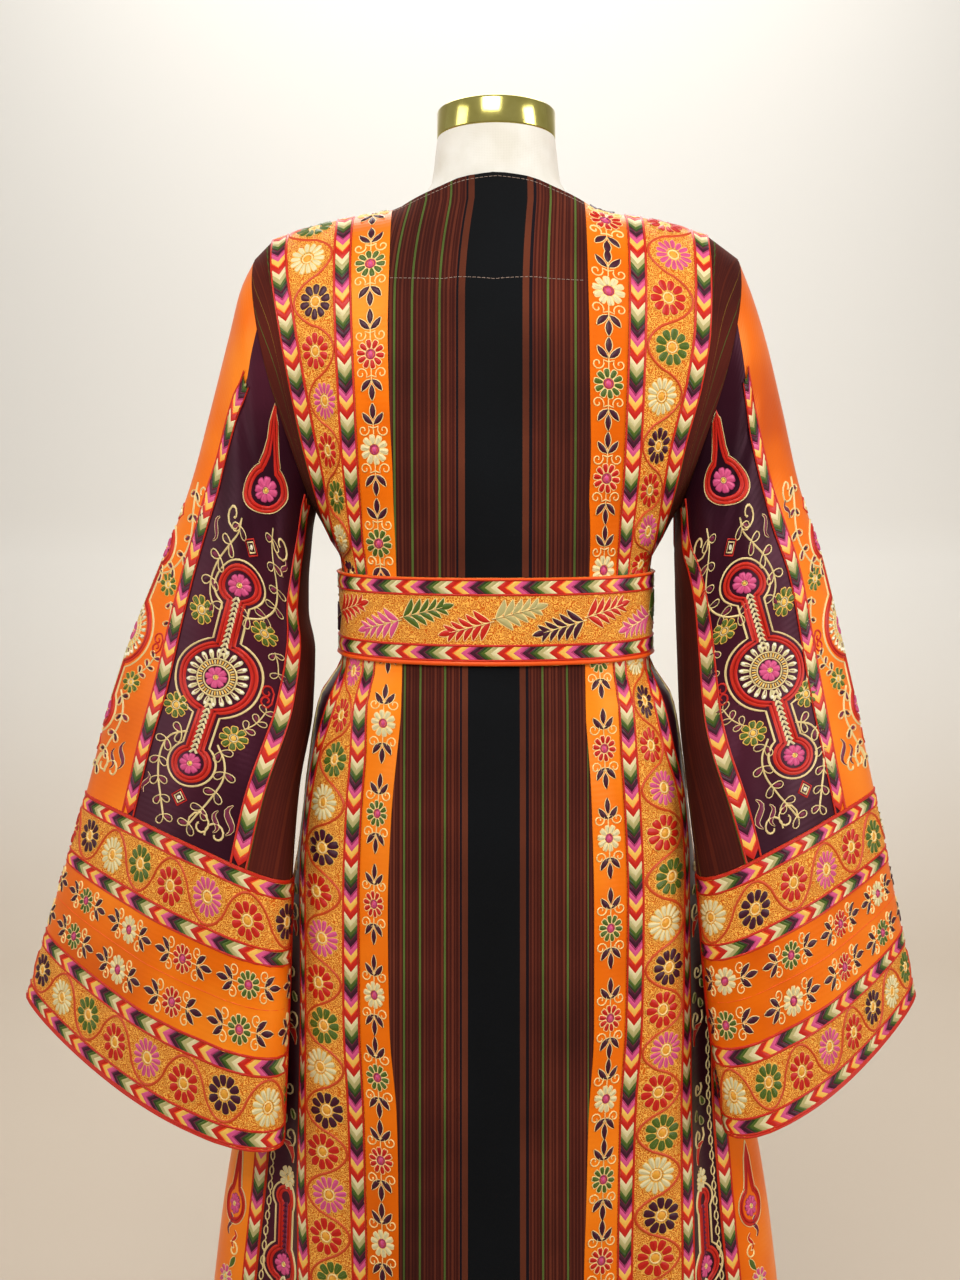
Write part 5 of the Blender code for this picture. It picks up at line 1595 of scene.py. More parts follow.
def sew_ribbon(work, lane, length, reverse=False, start=0.0, closed=False):
    """A chevron ribbon with red piping on both edges. Its last chevrons may run a little past
    the lane's end, where the lane holds them back."""
    fitting = (length - start) / CHEVRON_PERIOD
    periods = round(fitting) if closed else int(fitting) + 1
    run = chevrons(periods)
    points, quads, threads = run.arrays()
    if reverse:
        points = points * (-1, 1, 1) + (periods * CHEVRON_PERIOD + CHEVRON_DROP, 0, 0)
    if not closed:
        inside = points[quads, 0].max(axis=1) < length - start
        quads, threads = quads[inside], threads[inside]
    work.sew((points, quads, threads), lane, [(start, 0.0)])
    piping = Motif().line(straight(length - start), PIPING, 0.0016, "cord_red", 0.0002)
    side = (CHEVRON_WIDTH + PIPING) / 2
    work.sew(piping, lane, [(start, side), (start, -side)])


def sew_daisies(work, lane, x, length, width, order, side):
    """Daisies at x along the lane, alternately a little to one side and the other, with a cord
    that winds past them."""
    number = np.arange(len(x))
    swing = side * np.where(number % 2 == 0, 1.0, -1.0)
    room = width / 2 - DAISY_RADIUS
    names = [order[k % len(order)] for k in number]
    for kind in dict.fromkeys(names):
        motif, petal, shade = DAISY_COLOURS[kind]
        chosen = [k for k in number if names[k] == kind]
        work.sew(motif, lane, [(x[k], swing[k] * room * 0.45) for k in chosen],
                 turns=np.array([0.7 * k for k in chosen]), colours=[(petal, shade)])
    run = np.linspace(0.0, length, int(length / CORD_STEP))
    ends = (2 * x[0] - x[1], 2 * x[-1] - x[-2])
    phase = np.interp(run, np.concatenate([ends[:1], x, ends[1:]]),
                      np.arange(-1, len(x) + 1)) * math.pi
    wind = np.cos(phase)
    wind = -side * np.sign(wind) * np.abs(wind) ** 0.75 * (width / 2 - 0.0018)
    work.sew(Motif().line(np.stack([run, wind], axis=1), 0.0030, 0.0017, "cord_brown"), lane)


DAISY_NUMBERS = (0, 5, 8, 11, 17, 24, 36)  # the flowers' spacing changes at the waist and below
DAISIES_AT = {"left": (0.0276, 0.2501, 0.3800, 0.5135, 0.7586, 1.0241, 1.4500),
              "right": (0.0276, 0.2470, 0.3679, 0.4993, 0.7446, 1.0045, 1.4400)}
SPRIG_NUMBERS = (-1, 0, 3, 5, 8, 11, 17)
SPRIGS_AT = {"left": (0.0050, 0.0924, 0.3455, 0.5104, 0.7540, 0.9744, 1.4340),
             "right": (0.0450, 0.1224, 0.3720, 0.5342, 0.7752, 0.9900, 1.4490)}
BAND_ORDER = ["green", "cream", "plum", "red", "pink", "red"]
GROUND_WIDTH, SPRIG_WIDTH = 0.0450, 0.0330  # widths that their motifs are laid out for
for face in ("back", "front"):
    for side in ("left", "right"):
        work = Needlework(face + "_daisy_band_" + side)
        cut = work.cut
        for from_last in (False, True):
            lane = edge_lane(cut, 0.0, RIBBON, RIBBON, from_last, downwards=False)
            sew_ribbon(work, lane, cut.length)
        ground = strip_lane(cut, RIBBON, lambda along: cut.width_at(along) - RIBBON, GROUND_WIDTH)
        order = BAND_ORDER if side == "left" else BAND_ORDER[3:] + BAND_ORDER[:3]
        x = np.interp(np.arange(37), DAISY_NUMBERS, DAISIES_AT[side])
        outer_first = (side == "left") == (face == "back")
        sew_daisies(work, ground, x[x < cut.length - 0.010], cut.length, GROUND_WIDTH, order,
                    side=1 if outer_first else -1)
        work.finish("embroidered_band")
        work = Needlework(face + "_flower_band_" + side)
        lane = strip_lane(work.cut, 0.0, work.cut.width_at, SPRIG_WIDTH)
        x = np.interp(np.arange(-1, 17), SPRIG_NUMBERS, SPRIGS_AT[side])
        pairs = [("cream", "sage"), ("green", "sage"), ("red", "brick")]
        if side == "right":
            pairs = pairs[2:] + pairs[:2]
        points, quads, threads = LONG_SPRIG.arrays()
        below_top = points[quads, 0].min(axis=1) > 0.001 - x[0]
        work.sew((points, quads[below_top], threads[below_top]), lane, [(x[0], 0.0)], colours=pairs)
        work.sew(LONG_SPRIG, lane, [(at, 0.0) for at in x[1:5]], colours=pairs[1:] + pairs[:1])
        work.sew(SPRIG, lane, [(at, 0.0) for at in x[5:]], colours=pairs[2:] + pairs[:2])
        work.finish("orange_satin")

# %% [markdown]
# ## The belt
# The belt is a stiff band 79 mm wide. Leafy fronds in many colours lean up and down in turn on
# the couched ground, between two chevron ribbons that point to the left.

# %% Belt embroidery
def frond(length, pairs):
    """A leafy frond: a pale stem with pairs of fat leaves that lean forward, and one at its tip."""
    made = Motif()
    for k in range(pairs):
        share = (k + 0.15) / pairs
        root = np.array((-length / 2 + share * length * 0.80, 0.0))
        size = 0.0178 * (1.04 - 0.40 * share)
        for hand in (-1, 1):
            way = hand * math.radians(50 - 14 * share)
            tip = root + size * np.array((math.cos(way), math.sin(way)))
            leaf(made, root + (0.0006, hand * 0.0004), tip, size * 0.30, "petal", "straw",
                 -0.10 * hand)
    leaf(made, (length / 2 - 0.0120, 0.0), (length / 2 + 0.0010, 0.0), 0.0056, "petal", "straw")
    stem = [(-length / 2 - 0.002, 0.0), (0.0, 0.0), (length / 2 - 0.009, 0.0)]
    made.line(stem, 0.0014, 0.0019, "straw")
    return made


FROND_COLOURS = (("red", "brick"), ("pink", "rose"), ("green", "moss"), ("red", "brick"),
                 ("sage", "gold"), ("plum", "wine"))
FROND_STEP = 0.0810       # two fronds leave each joint, one back and down, one forward and up
FROND_LEAN = 0.26         # radians
work = Needlework("belt")
high, round_belt = work.cut.length, float(work.cut.width.mean())
CHEVRON_ROUND = round(round_belt / CHEVRON_PERIOD) * CHEVRON_PERIOD
for low_share, high_share in ((0.055, 0.238), (0.800, 0.983)):
    lane = ring_lane(high * low_share, high * high_share, RIBBON, 0.5, CHEVRON_ROUND)
    sew_ribbon(work, lane, CHEVRON_ROUND, closed=True)
joints = 2 * round(round_belt / FROND_STEP / 2)
lane = ring_lane(high * 0.258, high * 0.784, 0.0413, 0.5, joints * FROND_STEP)
places, turns, colours = [], [], []
for k in range(-joints // 2, joints // 2):
    joint = (k - 0.04) * FROND_STEP
    for way in (-1, 1):
        reach = 0.0245 * way
        places.append((joint + reach * math.cos(FROND_LEAN),
                       reach * math.sin(FROND_LEAN) + 0.0012 * way))
        turns.append(FROND_LEAN if way > 0 else math.pi + FROND_LEAN)
        colours.append(FROND_COLOURS[(2 * k + (way > 0) + 3) % len(FROND_COLOURS)])
work.sew(frond(0.0470, 5), lane, places, turns=np.array(turns), colours=colours)
edge = Motif().line(straight(CHEVRON_ROUND), 0.0046, 0.0024, "orange", 0.0)
for share in (0.024, 0.990):
    work.sew(edge, cord_lane(high * share, 0.5, CHEVRON_ROUND))
work.finish("embroidered_band")

# %% [markdown]
# ## The cuffs
# Eight rows run round each wide cuff: chevrons, daisies, chevrons, two rows of small flowers on
# orange satin, chevrons, daisies and chevrons again. On the left cuff all chevrons point to its
# outer edge; on the right the lower two ribbons are turned the other way.

# %% Cuff embroidery
CUFF_ROWS = (0.008, 0.070, 0.263, 0.327, 0.490, 0.662, 0.733, 0.925, 0.988)
INNER_EDGE = 38           # the column at the cuff's inner edge


CUFF_DAISIES = {          # row, how many, where the first is, and their colours from the outer edge
    "left": ((1, 14, 0.0, ("red", "plum", "cream", "green", "red", "pink")),
             (6, 16, 0.62, ("plum", "cream", "green", "red", "pink", "red"))),
    "right": ((1, 12, 0.80, ("green", "red", "pink", "red", "plum", "cream")),
              (6, 16, 0.62, ("green", "cream", "plum", "red", "pink", "red"))),
}
CUFF_SPRIGS = {
    "left": ((3, 9, 0.0726, ("green", "cream", "red")), (4, 9, 0.0662, ("green", "cream", "red"))),
    "right": ((3, 8, 0.0560, ("cream", "red", "green")), (4, 8, 0.0600, ("green", "red", "cream"))),
}


def sew_cuff(side):
    """All rows of one cuff, measured round from its outer edge, over its back first."""
    work = Needlework("cuff_" + side)
    cut = work.cut
    outer_edge = float(cut.profile[TOP_COLUMNS // 2])
    rows = [share * cut.length for share in CUFF_ROWS]
    girth = float(cut.width.mean())
    for row, turned_back in ((0, False), (2, False), (5, side == "right"), (7, side == "right")):
        length = round(float(cut.width_at(rows[row])) / CHEVRON_PERIOD) * CHEVRON_PERIOD
        lane = ring_lane(rows[row], rows[row + 1], RIBBON, outer_edge, length)
        sew_ribbon(work, lane, length, reverse=turned_back, closed=True)
    for row, count, start, order in CUFF_DAISIES[side]:
        length = count * DAISY_STEP
        lane = ring_lane(rows[row], rows[row + 1], GROUND_WIDTH, outer_edge, length)
        sew_daisies(work, lane, (np.arange(count) + start) * DAISY_STEP, length, GROUND_WIDTH,
                    order, side=1 if row == 1 else -1)
    for row, count, start, order in CUFF_SPRIGS[side]:
        length = count * SPRIG_REPEAT
        lane = ring_lane(rows[row], rows[row + 1], 0.0375, outer_edge, length)
        work.sew(SPRIG, lane, [(start + k * SPRIG_REPEAT, 0.0) for k in range(count)],
                 colours=[(colour, "brick" if colour == "red" else "sage") for colour in order])
    lane = cord_lane(rows[4], outer_edge, girth)
    work.sew(Motif().line(straight(girth, 0.01), 0.0012, 0.0006, "orange"), lane)
    for share in (0.004, 0.997):
        lane = cord_lane(share * cut.length, outer_edge, girth)
        work.sew(Motif().line(straight(girth, 0.01), 0.0034, 0.0018, "cord_red", 0.0), lane)
    seam_share = float(cut.profile[INNER_EDGE])
    work.sew(Motif().line(straight(cut.length * 0.99, 0.01), 0.0030, 0.0018, "cord_red", 0.0),
             lambda x, y: (x, seam_share + y / girth))
    work.finish("embroidered_band")


for side in ("left", "right"):
    sew_cuff(side)

# %% [markdown]
# ## The sleeves' ribbons
# A chevron ribbon covers each long seam of the sleeve, pointing to the cuff. It lies on both
# pieces, so it gets a narrow strip of grid of its own, centred on the seam.

# %% Ribbons over the sleeve seams
STRIP_HALF = 0.0085


def strip_on_sleeve(table, seam_turn, flip):
    """A narrow strip of the sleeve's surface, centred on a seam."""
    offset = np.linspace(-STRIP_HALF, STRIP_HALF, 7)
    along = np.repeat(SLEEVE_ALONGS[:, None], len(offset), axis=1)
    turn = np.repeat(seam_turn(SLEEVE_ALONGS)[:, None], len(offset), axis=1)
    turn = turn + offset / sleeve_speed(table, turn, along)
    points, normals = sleeve_grid(table, turn, along)
    return Cut(points * flip, normals * flip)


for side, sign, table in SLEEVES:
    top, under = sleeve_seam("top_" + side), sleeve_seam("under_" + side)
    for name, turn, start in (("top_back", top, 0.045), ("back_under", under, 0.005),
                              ("under_front", mirrored(under, 2 * math.pi), 0.005),
                              ("front_top", mirrored(top, 2 * math.pi), 0.045)):
        name = "sleeve_ribbon_" + name + "_" + side
        strip = strip_on_sleeve(table, turn, np.array((sign, 1, 1)))
        work = Needlework(name, strip)
        sew_ribbon(work, strip_lane(strip, 0.0, strip.width_at, RIBBON), strip.length - start)
        work.finish("embroidered_band", name, 0.0003)

# %% [markdown]
# ## Medallions on the satin
# Down the satin of each sleeve hangs a medallion: a teardrop over three round beads joined by
# necks, outlined in red braid and cream cord, with pink flowers, rings of gold chain and a sun
# of cream petals. Vines with looped leaves, small green flowers, diamonds and flame leaves fill
# the satin about it.

# %% Medallion motifs
def beads_outline(beads, neck, grow):
    """Outline round beads on a line, joined by straight necks: beads are (x, radius); an arc runs
    round each bead between the points where the necks, grown by the same, leave it."""
    half = neck / 2 + grow
    turns = [math.asin(min(0.95, half / (radius + grow))) for _, radius in beads]
    side = []
    for k, (x, radius) in enumerate(beads):
        first = math.pi if k == 0 else math.pi - turns[k]
        last = 0.0 if k == len(beads) - 1 else turns[k]
        side.append(arc(radius + grow, first, last, 22 if radius > 0.025 else 15, (x, 0.0)))
    side = np.concatenate(side)
    return np.concatenate([side, side[-2::-1] * (1, -1)])


def smooth_path(points):
    """A smooth curve through points: cubic pieces whose slopes are half the span between the
    neighbours on both sides."""
    points = np.asarray(points, dtype=float)
    slope = np.gradient(points, axis=0)
    pieces = []
    for k in range(len(points) - 1):
        count = max(2, int(np.linalg.norm(points[k + 1] - points[k]) / CORD_STEP))
        t = np.linspace(0.0, 1.0, count + 1)[:-1, None]
        pieces.append(points[k] * (1 + 2 * t) * (1 - t) ** 2 + points[k + 1] * t * t * (3 - 2 * t)
                      + slope[k] * t * (1 - t) ** 2 + slope[k + 1] * t * t * (t - 1))
    return np.concatenate(pieces + [points[-1:]])


def looped_leaf(made, root, angle, length, colour, fill, broad=1.0):
    """A leaf drawn as a closed loop of cord, filled with a smaller leaf of satin stitch."""
    t = np.linspace(0.0, 2 * math.pi, 12)
    flat = np.stack([length * (1 - np.cos(t)) / 2,
                     length * 0.29 * np.sin(t) * (1.0 - 0.35 * np.cos(t))], axis=1)
    cos, sin = math.cos(angle), math.sin(angle)
    turned = np.stack([flat[:, 0] * cos - flat[:, 1] * sin,
                       (flat[:, 0] * sin + flat[:, 1] * cos) * broad], axis=1)
    made.line(turned + root, 0.0010, 0.0012, colour, 0.0)
    tip = np.array((length * 0.86 * cos, length * 0.86 * sin * broad))
    start = np.array((length * 0.14 * cos, length * 0.14 * sin * broad))
    leaf(made, root + start, root + tip, length * 0.40, fill)


def sew_vine(made, points, leaves, width=0.0019, size=0.0102, curls=()):
    """A vine through points, with looped leaves on both sides in turn; curls are eyes at which
    its ends roll up."""
    path = smooth_path(points)
    made.line(path, width, 0.0015, "vine", 0.0)
    run = run_of(path)
    heading = np.gradient(path, axis=0)
    for k, where in enumerate(np.linspace(0.08, 0.98, leaves) * run[-1]):
        root = np.array([np.interp(where, run, path[:, axis]) for axis in (0, 1)])
        ahead = math.atan2(np.interp(where, run, heading[:, 1]),
                           np.interp(where, run, heading[:, 0]))
        for hand in (-1, 1):
            fill = ("wine", "plum")[(k + (hand > 0)) % 2]
            looped_leaf(made, root, ahead + hand * math.radians(56), size, "vine", fill, 1.2)
    for start, middle, turns in curls:
        made.line(curl(start, middle, turns), width, 0.0015, "vine", 0.0)
    return made


def diamond(made, x, y, size, colours):
    """Nested diamonds of cord round a dot."""
    corners = np.array(((1, 0), (0, 1.15), (-1, 0), (0, -1.15), (1, 0), (0.6, 0.46)))
    for k, colour in enumerate(colours[:-1]):
        made.line(corners * size * (1 - 0.36 * k) + (x, y), 0.0014, 0.0012, colour, 0.0)
    eye(made, size * 0.22, colours[-1], colours[-1], (x, y))
    return made


def flame(made, x, y, length, lean, colour="wine", rim="vine"):
    """A flame leaf: an S-shaped leaf with a thin pale rim."""
    t = np.linspace(-0.5, 0.5, 9)
    path = np.stack([x + t * length, y + lean * np.sin(t * 2 * math.pi) * length * 0.16], axis=1)
    swell = np.array((.06, .40, .74, .94, 1, .92, .70, .38, .04))
    made.line(path, length * 0.22 * swell + 0.0008, 0.0006, rim, 0.0002)
    made.line(path, length * 0.20 * swell, 0.0014, colour, 0.0003)
    return made


def wheat(made, first, last, colour="cream"):
    """A wheat-ear stitch down a neck: pairs of short bars that lean forward."""
    count = int((last - first) / 0.0046)
    for k in range(count):
        x = first + (last - first) * (k + 0.5) / count
        for hand in (-1, 1):
            made.line([(x - 0.0018, 0.0), (x + 0.0024, hand * 0.0030)], 0.0022, 0.0016, colour, 0.0)
    return made


def bead_flower(made, x, radius):
    """A pink flower of eight petals in the middle of a bead."""
    for k in range(8):
        petal(made, 2 * math.pi * k / 8, radius * 0.30, radius, petal_width(radius, 8) * 0.92,
              "rose", (x, 0.0), "pink", "rose")
    eye(made, radius * 0.24, "straw", "maize", (x, 0.0))
    return made


def moved(arrays, x, y=0.0, sizes=(1.0, 1.0)):
    """Arrays scaled along and across, then moved."""
    points, quads, threads = arrays
    return points * (sizes[0], sizes[1], 1.0) + (x, y, 0.0), quads, threads


def stretch(motif, xs, across, slant):
    """A motif's arrays, made wider and slanted by shares that change along it: where the sleeve
    is cut on the bias, what hangs level on the arm lies aslant on the piece."""
    points, quads, threads = motif.arrays()
    points = points.copy()
    x, y = points[:, 0].copy(), points[:, 1].copy()
    points[:, 0] += np.interp(x, xs, slant) * y
    points[:, 1] *= np.interp(x, xs, across)
    return points, quads, threads


BEADS = ((0.0, 0.0160), (0.0871, 0.0305), (0.1679, 0.0146))
NECK = 0.0108
BRAID = 0.0030            # width of each of the braid's two rows
SUN_PETAL = 0.0040 * np.array((0.5, 0.8, 1, 1, 0.5))
SUN_TIP = 0.0028 * np.array((0.6, 1, 0.6))


def braid(made, outline, furrow, cord_at, cord_width, cord_height):
    """Braid outlines: two rows of red with a dark furrow between, and a cream cord outside."""
    made.line(outline(-BRAID * 0.5), BRAID, 0.0016, "red", 0.0)
    made.line(outline(BRAID * 0.5), BRAID, 0.0016, "cord_red", 0.0)
    made.line(outline(0.0), furrow, 0.0014, "brick", 0.0004)
    made.line(outline(cord_at), cord_width, cord_height, "vine", 0.0)


def medallion(beads=BEADS, tail=False):
    """Beads on a line with their necks: pink flowers in the small ones, a sun in the big one."""
    made = Motif()
    braid(made, lambda grow: beads_outline(beads, NECK, grow), 0.0007, 0.0062, 0.0018, 0.0014)
    (first, _), (middle, _), (last, _) = beads[-3:]
    bead_flower(made, first, 0.0096)
    bead_flower(made, last, 0.0088)
    bead_flower(made, middle, 0.0090)
    for radius in (0.0112, 0.0170):
        made.line(arc(radius, 0.0, 2 * math.pi, 37, (middle, 0.0)), 0.0014, 0.0014, "vine", 0.0)
    for k in range(40):
        angle = 2 * math.pi * k / 40
        made.line(spoke(angle, 0.0124, 0.0160, 2) + (middle, 0.0), 0.0014, 0.0013,
                  "maize" if k % 2 else "cream", 0.0)
    petals = 22
    for k in range(petals):
        angle = 2 * math.pi * (k + 0.5) / petals
        at = np.array((middle, 0.0))
        made.line(spoke(angle, 0.0178, 0.0262) + at, SUN_PETAL, 0.0011, "cream", 0.0)
        made.line(spoke(angle, 0.0186, 0.0226, 2) + at, 0.0015, 0.0016,
                  "wine" if k % 2 else "sage", 0.0002)
        made.line(spoke(angle, 0.0228, 0.0256, 3) + at, SUN_TIP, 0.0020, "white", 0.0004)
    wheat(made, first + 0.0108, middle - 0.0185)
    wheat(made, middle + 0.0185, last - 0.0100)
    if tail:
        wheat(made, beads[0][0] + 0.004, first - 0.0110, "wine")
    return made


TAIL = ((-0.0560, 0.0), (-0.0460, 0.0018), (-0.0350, 0.0032), (-0.0250, 0.0044), (-0.0178, 0.0060))


def teardrop():
    """A teardrop of red braid round a pink flower, with a long point to smaller x."""
    made = Motif()

    def outline(grow):
        side = np.array(TAIL)
        side[0, 0] -= grow * 1.5
        side[1:, 1] += grow
        round_part = arc(0.0158 + grow, math.pi * 0.86, -math.pi * 0.86, 29)
        return np.concatenate([side, round_part, side[::-1] * (1, -1)])

    braid(made, outline, 0.0006, BRAID * 1.2, 0.0008, 0.0012)
    bead_flower(made, 0.0, 0.0092)
    return made


def vines():
    """The vines, flowers, diamonds and flames about the medallion. x runs from the armhole, and
    y from the piece's middle to the underarm."""
    made = Motif()
    sew_vine(made, [(0.106, -0.0165), (0.118, -0.0150), (0.133, -0.0220), (0.151, -0.0315),
                    (0.166, -0.0350), (0.179, -0.0325), (0.186, -0.0260)], 5,
             curls=[((0.106, -0.0165), (0.111, -0.0275), -1.2)])
    sew_vine(made, [(0.079, 0.0270), (0.093, 0.0290), (0.106, 0.0345), (0.120, 0.0415),
                    (0.136, 0.0440), (0.154, 0.0395), (0.170, 0.0280), (0.179, 0.0120)], 6,
             curls=[((0.079, 0.0270), (0.0835, 0.0420), 1.2)])
    sew_vine(made, [(0.296, -0.0190), (0.306, -0.0370), (0.322, -0.0425), (0.343, -0.0390),
                    (0.362, -0.0300), (0.379, -0.0210)], 6)
    sew_vine(made, [(0.299, 0.0150), (0.312, 0.0270), (0.328, 0.0305), (0.348, 0.0235),
                    (0.366, 0.0140), (0.377, 0.0080)], 5,
             curls=[((0.377, 0.0080), (0.372, 0.0205), -1.2),
                    ((0.379, 0.0270), (0.3745, 0.0380), -1.0)])
    for points, leaves in (([(0.196, 0.0440), (0.206, 0.0490), (0.216, 0.0510)], 2),
                           ([(0.278, 0.0330), (0.268, 0.0420), (0.256, 0.0470)], 3)):
        sew_vine(made, points, leaves, width=0.0013, size=0.0080)
    for x, y in ((0.1950, -0.0380), (0.1830, 0.0320), (0.2880, 0.0270), (0.2790, -0.0410)):
        flower = small_flower(Motif(), 0.0106, 8, "maize", "maize")
        made.add(*moved(flower.arrays(), x, y, (1, 1.25)))
    for x, y, size in ((0.1170, 0.0050, 0.0082), (0.3560, -0.0080, 0.0078)):
        diamond(made, x, y, size, ("red", "vine", "white"))
    for x, y, length, lean in ((0.3580, 0.0465, 0.0270, 1), (0.3640, 0.0345, 0.0200, 1),
                               (0.1000, 0.0500, 0.0190, -1), (0.1330, -0.0440, 0.0190, 1),
                               (0.3550, -0.0510, 0.0200, -1)):
        flame(made, x, y, length, lean)
    made.line(curl((0.2310, 0.0470), (0.2370, 0.0440), 1.0), 0.0019, 0.0014, "red", 0.0)
    made.line(curl((0.2510, 0.0470), (0.2450, 0.0450), -1.0), 0.0019, 0.0014, "red", 0.0)
    arch = [(0.2310, 0.0470), (0.2360, 0.0505), (0.2460, 0.0505), (0.2510, 0.0470)]
    made.line(arch, 0.0019, 0.0014, "red", 0.0)
    return made


BEAD_XS = [x for x, _ in BEADS]
AXIS_ALONG = (0.1553, 0.2424, 0.3232)
AXIS = {"left": (0.0, -0.0068, -0.0058), "right": (0.0048, -0.0069, -0.0132)}
BEADS_ACROSS = {"left": (1.31, 1.21, 1.27), "right": (1.24, 1.20, 1.36)}
BEADS_SLANT = {"left": (-0.51, -0.16, -0.07), "right": (-0.53, -0.27, -0.16)}
DROPS = {                 # where the teardrop is, its lengths along and across, slant and bend
    "left": (0.0628, 0.0063, 1.07, 1.61, -1.20, 0.30),
    "right": (0.0600, -0.0050, 1.15, 1.70, -1.25, 0.0),
}
MEDALLION, TEARDROP, VINES = medallion(), teardrop(), vines()

# %% Medallions on the sleeves
def shifted(arrays, hand, from_side=None, to_side=None):
    """Arrays mirrored across the lane if hand is -1, and moved from one side's middle line to
    another's."""
    points, quads, threads = arrays
    points = points.copy()
    if from_side:
        points[:, 1] -= np.interp(points[:, 0], AXIS_ALONG, AXIS[from_side])
    points[:, 1] *= hand
    if to_side:
        points[:, 1] += np.interp(points[:, 0], AXIS_ALONG, AXIS[to_side])
    return points, quads, threads


for side, rise in (("left", 0.0), ("right", -0.0070)):
    for face in ("back", "front"):
        work = Needlework("sleeve_" + face + "_" + side)
        lane = middle_lane(work.cut)
        hand = 1 if face == "back" else -1
        beads = moved(stretch(MEDALLION, BEAD_XS, BEADS_ACROSS[side], BEADS_SLANT[side]),
                      AXIS_ALONG[0])
        for arrays in (shifted(beads, 1, None, side), shifted(VINES.arrays(), 1, "left", side)):
            work.sew(shifted(arrays, hand), lane, [(rise, 0.0)], colours=[("green", "maize")])
        x, y, along, across, slant, bend = DROPS[side]
        points, quads, threads = TEARDROP.arrays()
        points = np.stack([x + along * points[:, 0] + slant * points[:, 1],
                           y + across * points[:, 1] + bend * np.minimum(points[:, 0], 0.0),
                           points[:, 2]], axis=1)
        work.sew(shifted((points, quads, threads), hand), lane)
        work.finish("aubergine_satin")
    work = Needlework("sleeve_top_" + side)
    lane = middle_lane(work.cut)
    size = 1.0 if side == "left" else 0.97
    for arrays in (moved(MEDALLION.arrays(), AXIS_ALONG[0], 0.0, (1.0, 1.1)),
                   shifted(VINES.arrays(), 1, "left")):
        work.sew(moved(arrays, 0.126, 0.0, (1.0, 0.90)), lane, sizes=size,
                 colours=[("green", "maize")])
    work.finish("orange_satin")

# %% [markdown]
# ## The gores
# A chevron ribbon runs down each seam between the orange and the aubergine gore. On the
# aubergine gore a chain of loops follows it, beside scrolls, leaves and a medallion; on the
# orange gore a teardrop, flames and a small flower hang along both its edges.

# %% Gore embroidery
LOOP_STEP = 0.014


def chain(length):
    """A chain of cord loops, one each 14 mm, linked by slanting lines."""
    made = Motif()
    t = np.linspace(0.0, 2 * math.pi, 10)
    loop = np.stack([0.0042 * np.cos(t), 0.0022 * np.sin(t)], axis=1)
    link = np.array(((0.0042, 0.0), (0.0070, 0.0012), (0.0098, 0.0)))
    for k in range(int(length / LOOP_STEP)):
        at = np.array(((k + 0.5) * LOOP_STEP, 0.0))
        made.line(loop + at, 0.0012, 0.0012, "vine", 0.0)
        made.line(link + at, 0.0012, 0.0012, "vine", 0.0)
    return made


def scroll_sprig():
    """Two cream scrolls with three green leaves between and a red leaf at the end, 75 mm long."""
    made = Motif()
    made.line(curl((0.0, -0.0060), (0.0050, 0.0), 1.3), 0.0017, 0.0014, "vine", 0.0)
    for x, y, way in ((0.0130, -0.0050, -0.5), (0.0240, 0.0035, 0.5), (0.0310, -0.0030, -0.4)):
        looped_leaf(made, np.array((x, y)), way, 0.0100, "sage", "green")
    made.line(curl((0.0430, -0.0070), (0.0500, 0.0030), 1.4), 0.0019, 0.0014, "vine", 0.0)
    leaf(made, (0.0560, -0.0060), (0.0740, 0.0080), 0.0080, "red", "vine", 0.2)
    return made


GORE_BEADS = ((-0.0640, 0.0085),) + BEADS
GORE_MEDALLION = medallion(GORE_BEADS, tail=True)
SCROLLS = scroll_sprig()
for side, seam_first in (("left", True), ("right", False)):
    inner_hand = 1 if seam_first else -1
    work = Needlework("aubergine_gore_" + side)
    cut = work.cut
    lane = middle_lane(cut)
    for motif, top in ((SCROLLS, 0.592), (GORE_MEDALLION, 0.425), (SCROLLS, 0.200),
                       (SCROLLS, 0.100), (SCROLLS, 0.700), (SCROLLS, 0.800)):
        work.sew(moved(motif.arrays(), top, 0.0, (-0.96, 1.10 * inner_hand)), lane,
                 colours=[("green", "maize")])
    work.sew(small_flower(Motif(), 0.0105, 8, "straw", "maize"), lane,
             [(0.505, 0.002 * inner_hand), (0.212, 0.0)],
             colours=[("cream", "sage"), ("pink", "rose")])
    outer = edge_lane(cut, 0.0015, 0.0075, 0.006, not seam_first)
    work.sew(chain(cut.length * 0.96), outer, [(cut.length * 0.03, 0.0)])
    work.finish("aubergine_satin")

    work = Needlework("orange_gore_" + side)
    cut = work.cut
    for from_last in (False, True):
        sew_ribbon(work, edge_lane(cut, 0.0004, 0.0164, RIBBON, from_last, False),
                   cut.length * 0.98, start=cut.length * 0.07)
        hand = -1 if from_last else 1
        lane = edge_lane(cut, 0.008, 0.068, 0.060, from_last)
        drops = shifted(moved(TEARDROP.arrays(), 0.0, 0.0, (1.0, 0.86)), hand)
        places = cut.length - np.array((0.4650, 0.2000))
        work.sew(drops, lane, [(x, 0.0) for x in places])
        more = Motif()
        flame(more, 0.0400, 0.0040, 0.0200, 1.0, rim="straw")
        flame(more, 0.0520, -0.0050, 0.0160, 1.0, "red", rim="straw")
        more.line(curl((0.0560, 0.0), (0.0620, -0.0050), 1.2), 0.0016, 0.0012, "straw", 0.0)
        leaf(more, (0.0680, -0.0090), (0.0800, -0.0020), 0.0060, "green", "straw")
        small_flower(more, 0.0105, 8, "straw", "maize", 0.0900, 0.0030)
        leaf(more, (0.1000, 0.0060), (0.1160, 0.0120), 0.0060, "green", "straw")
        leaf(more, (0.1010, 0.0000), (0.1170, -0.0040), 0.0060, "plum", "straw")
        work.sew(shifted(more.arrays(), hand), lane, [(x - 0.020, 0.0) for x in places],
                 colours=[("pink", "rose")])
    work.finish("orange_satin")

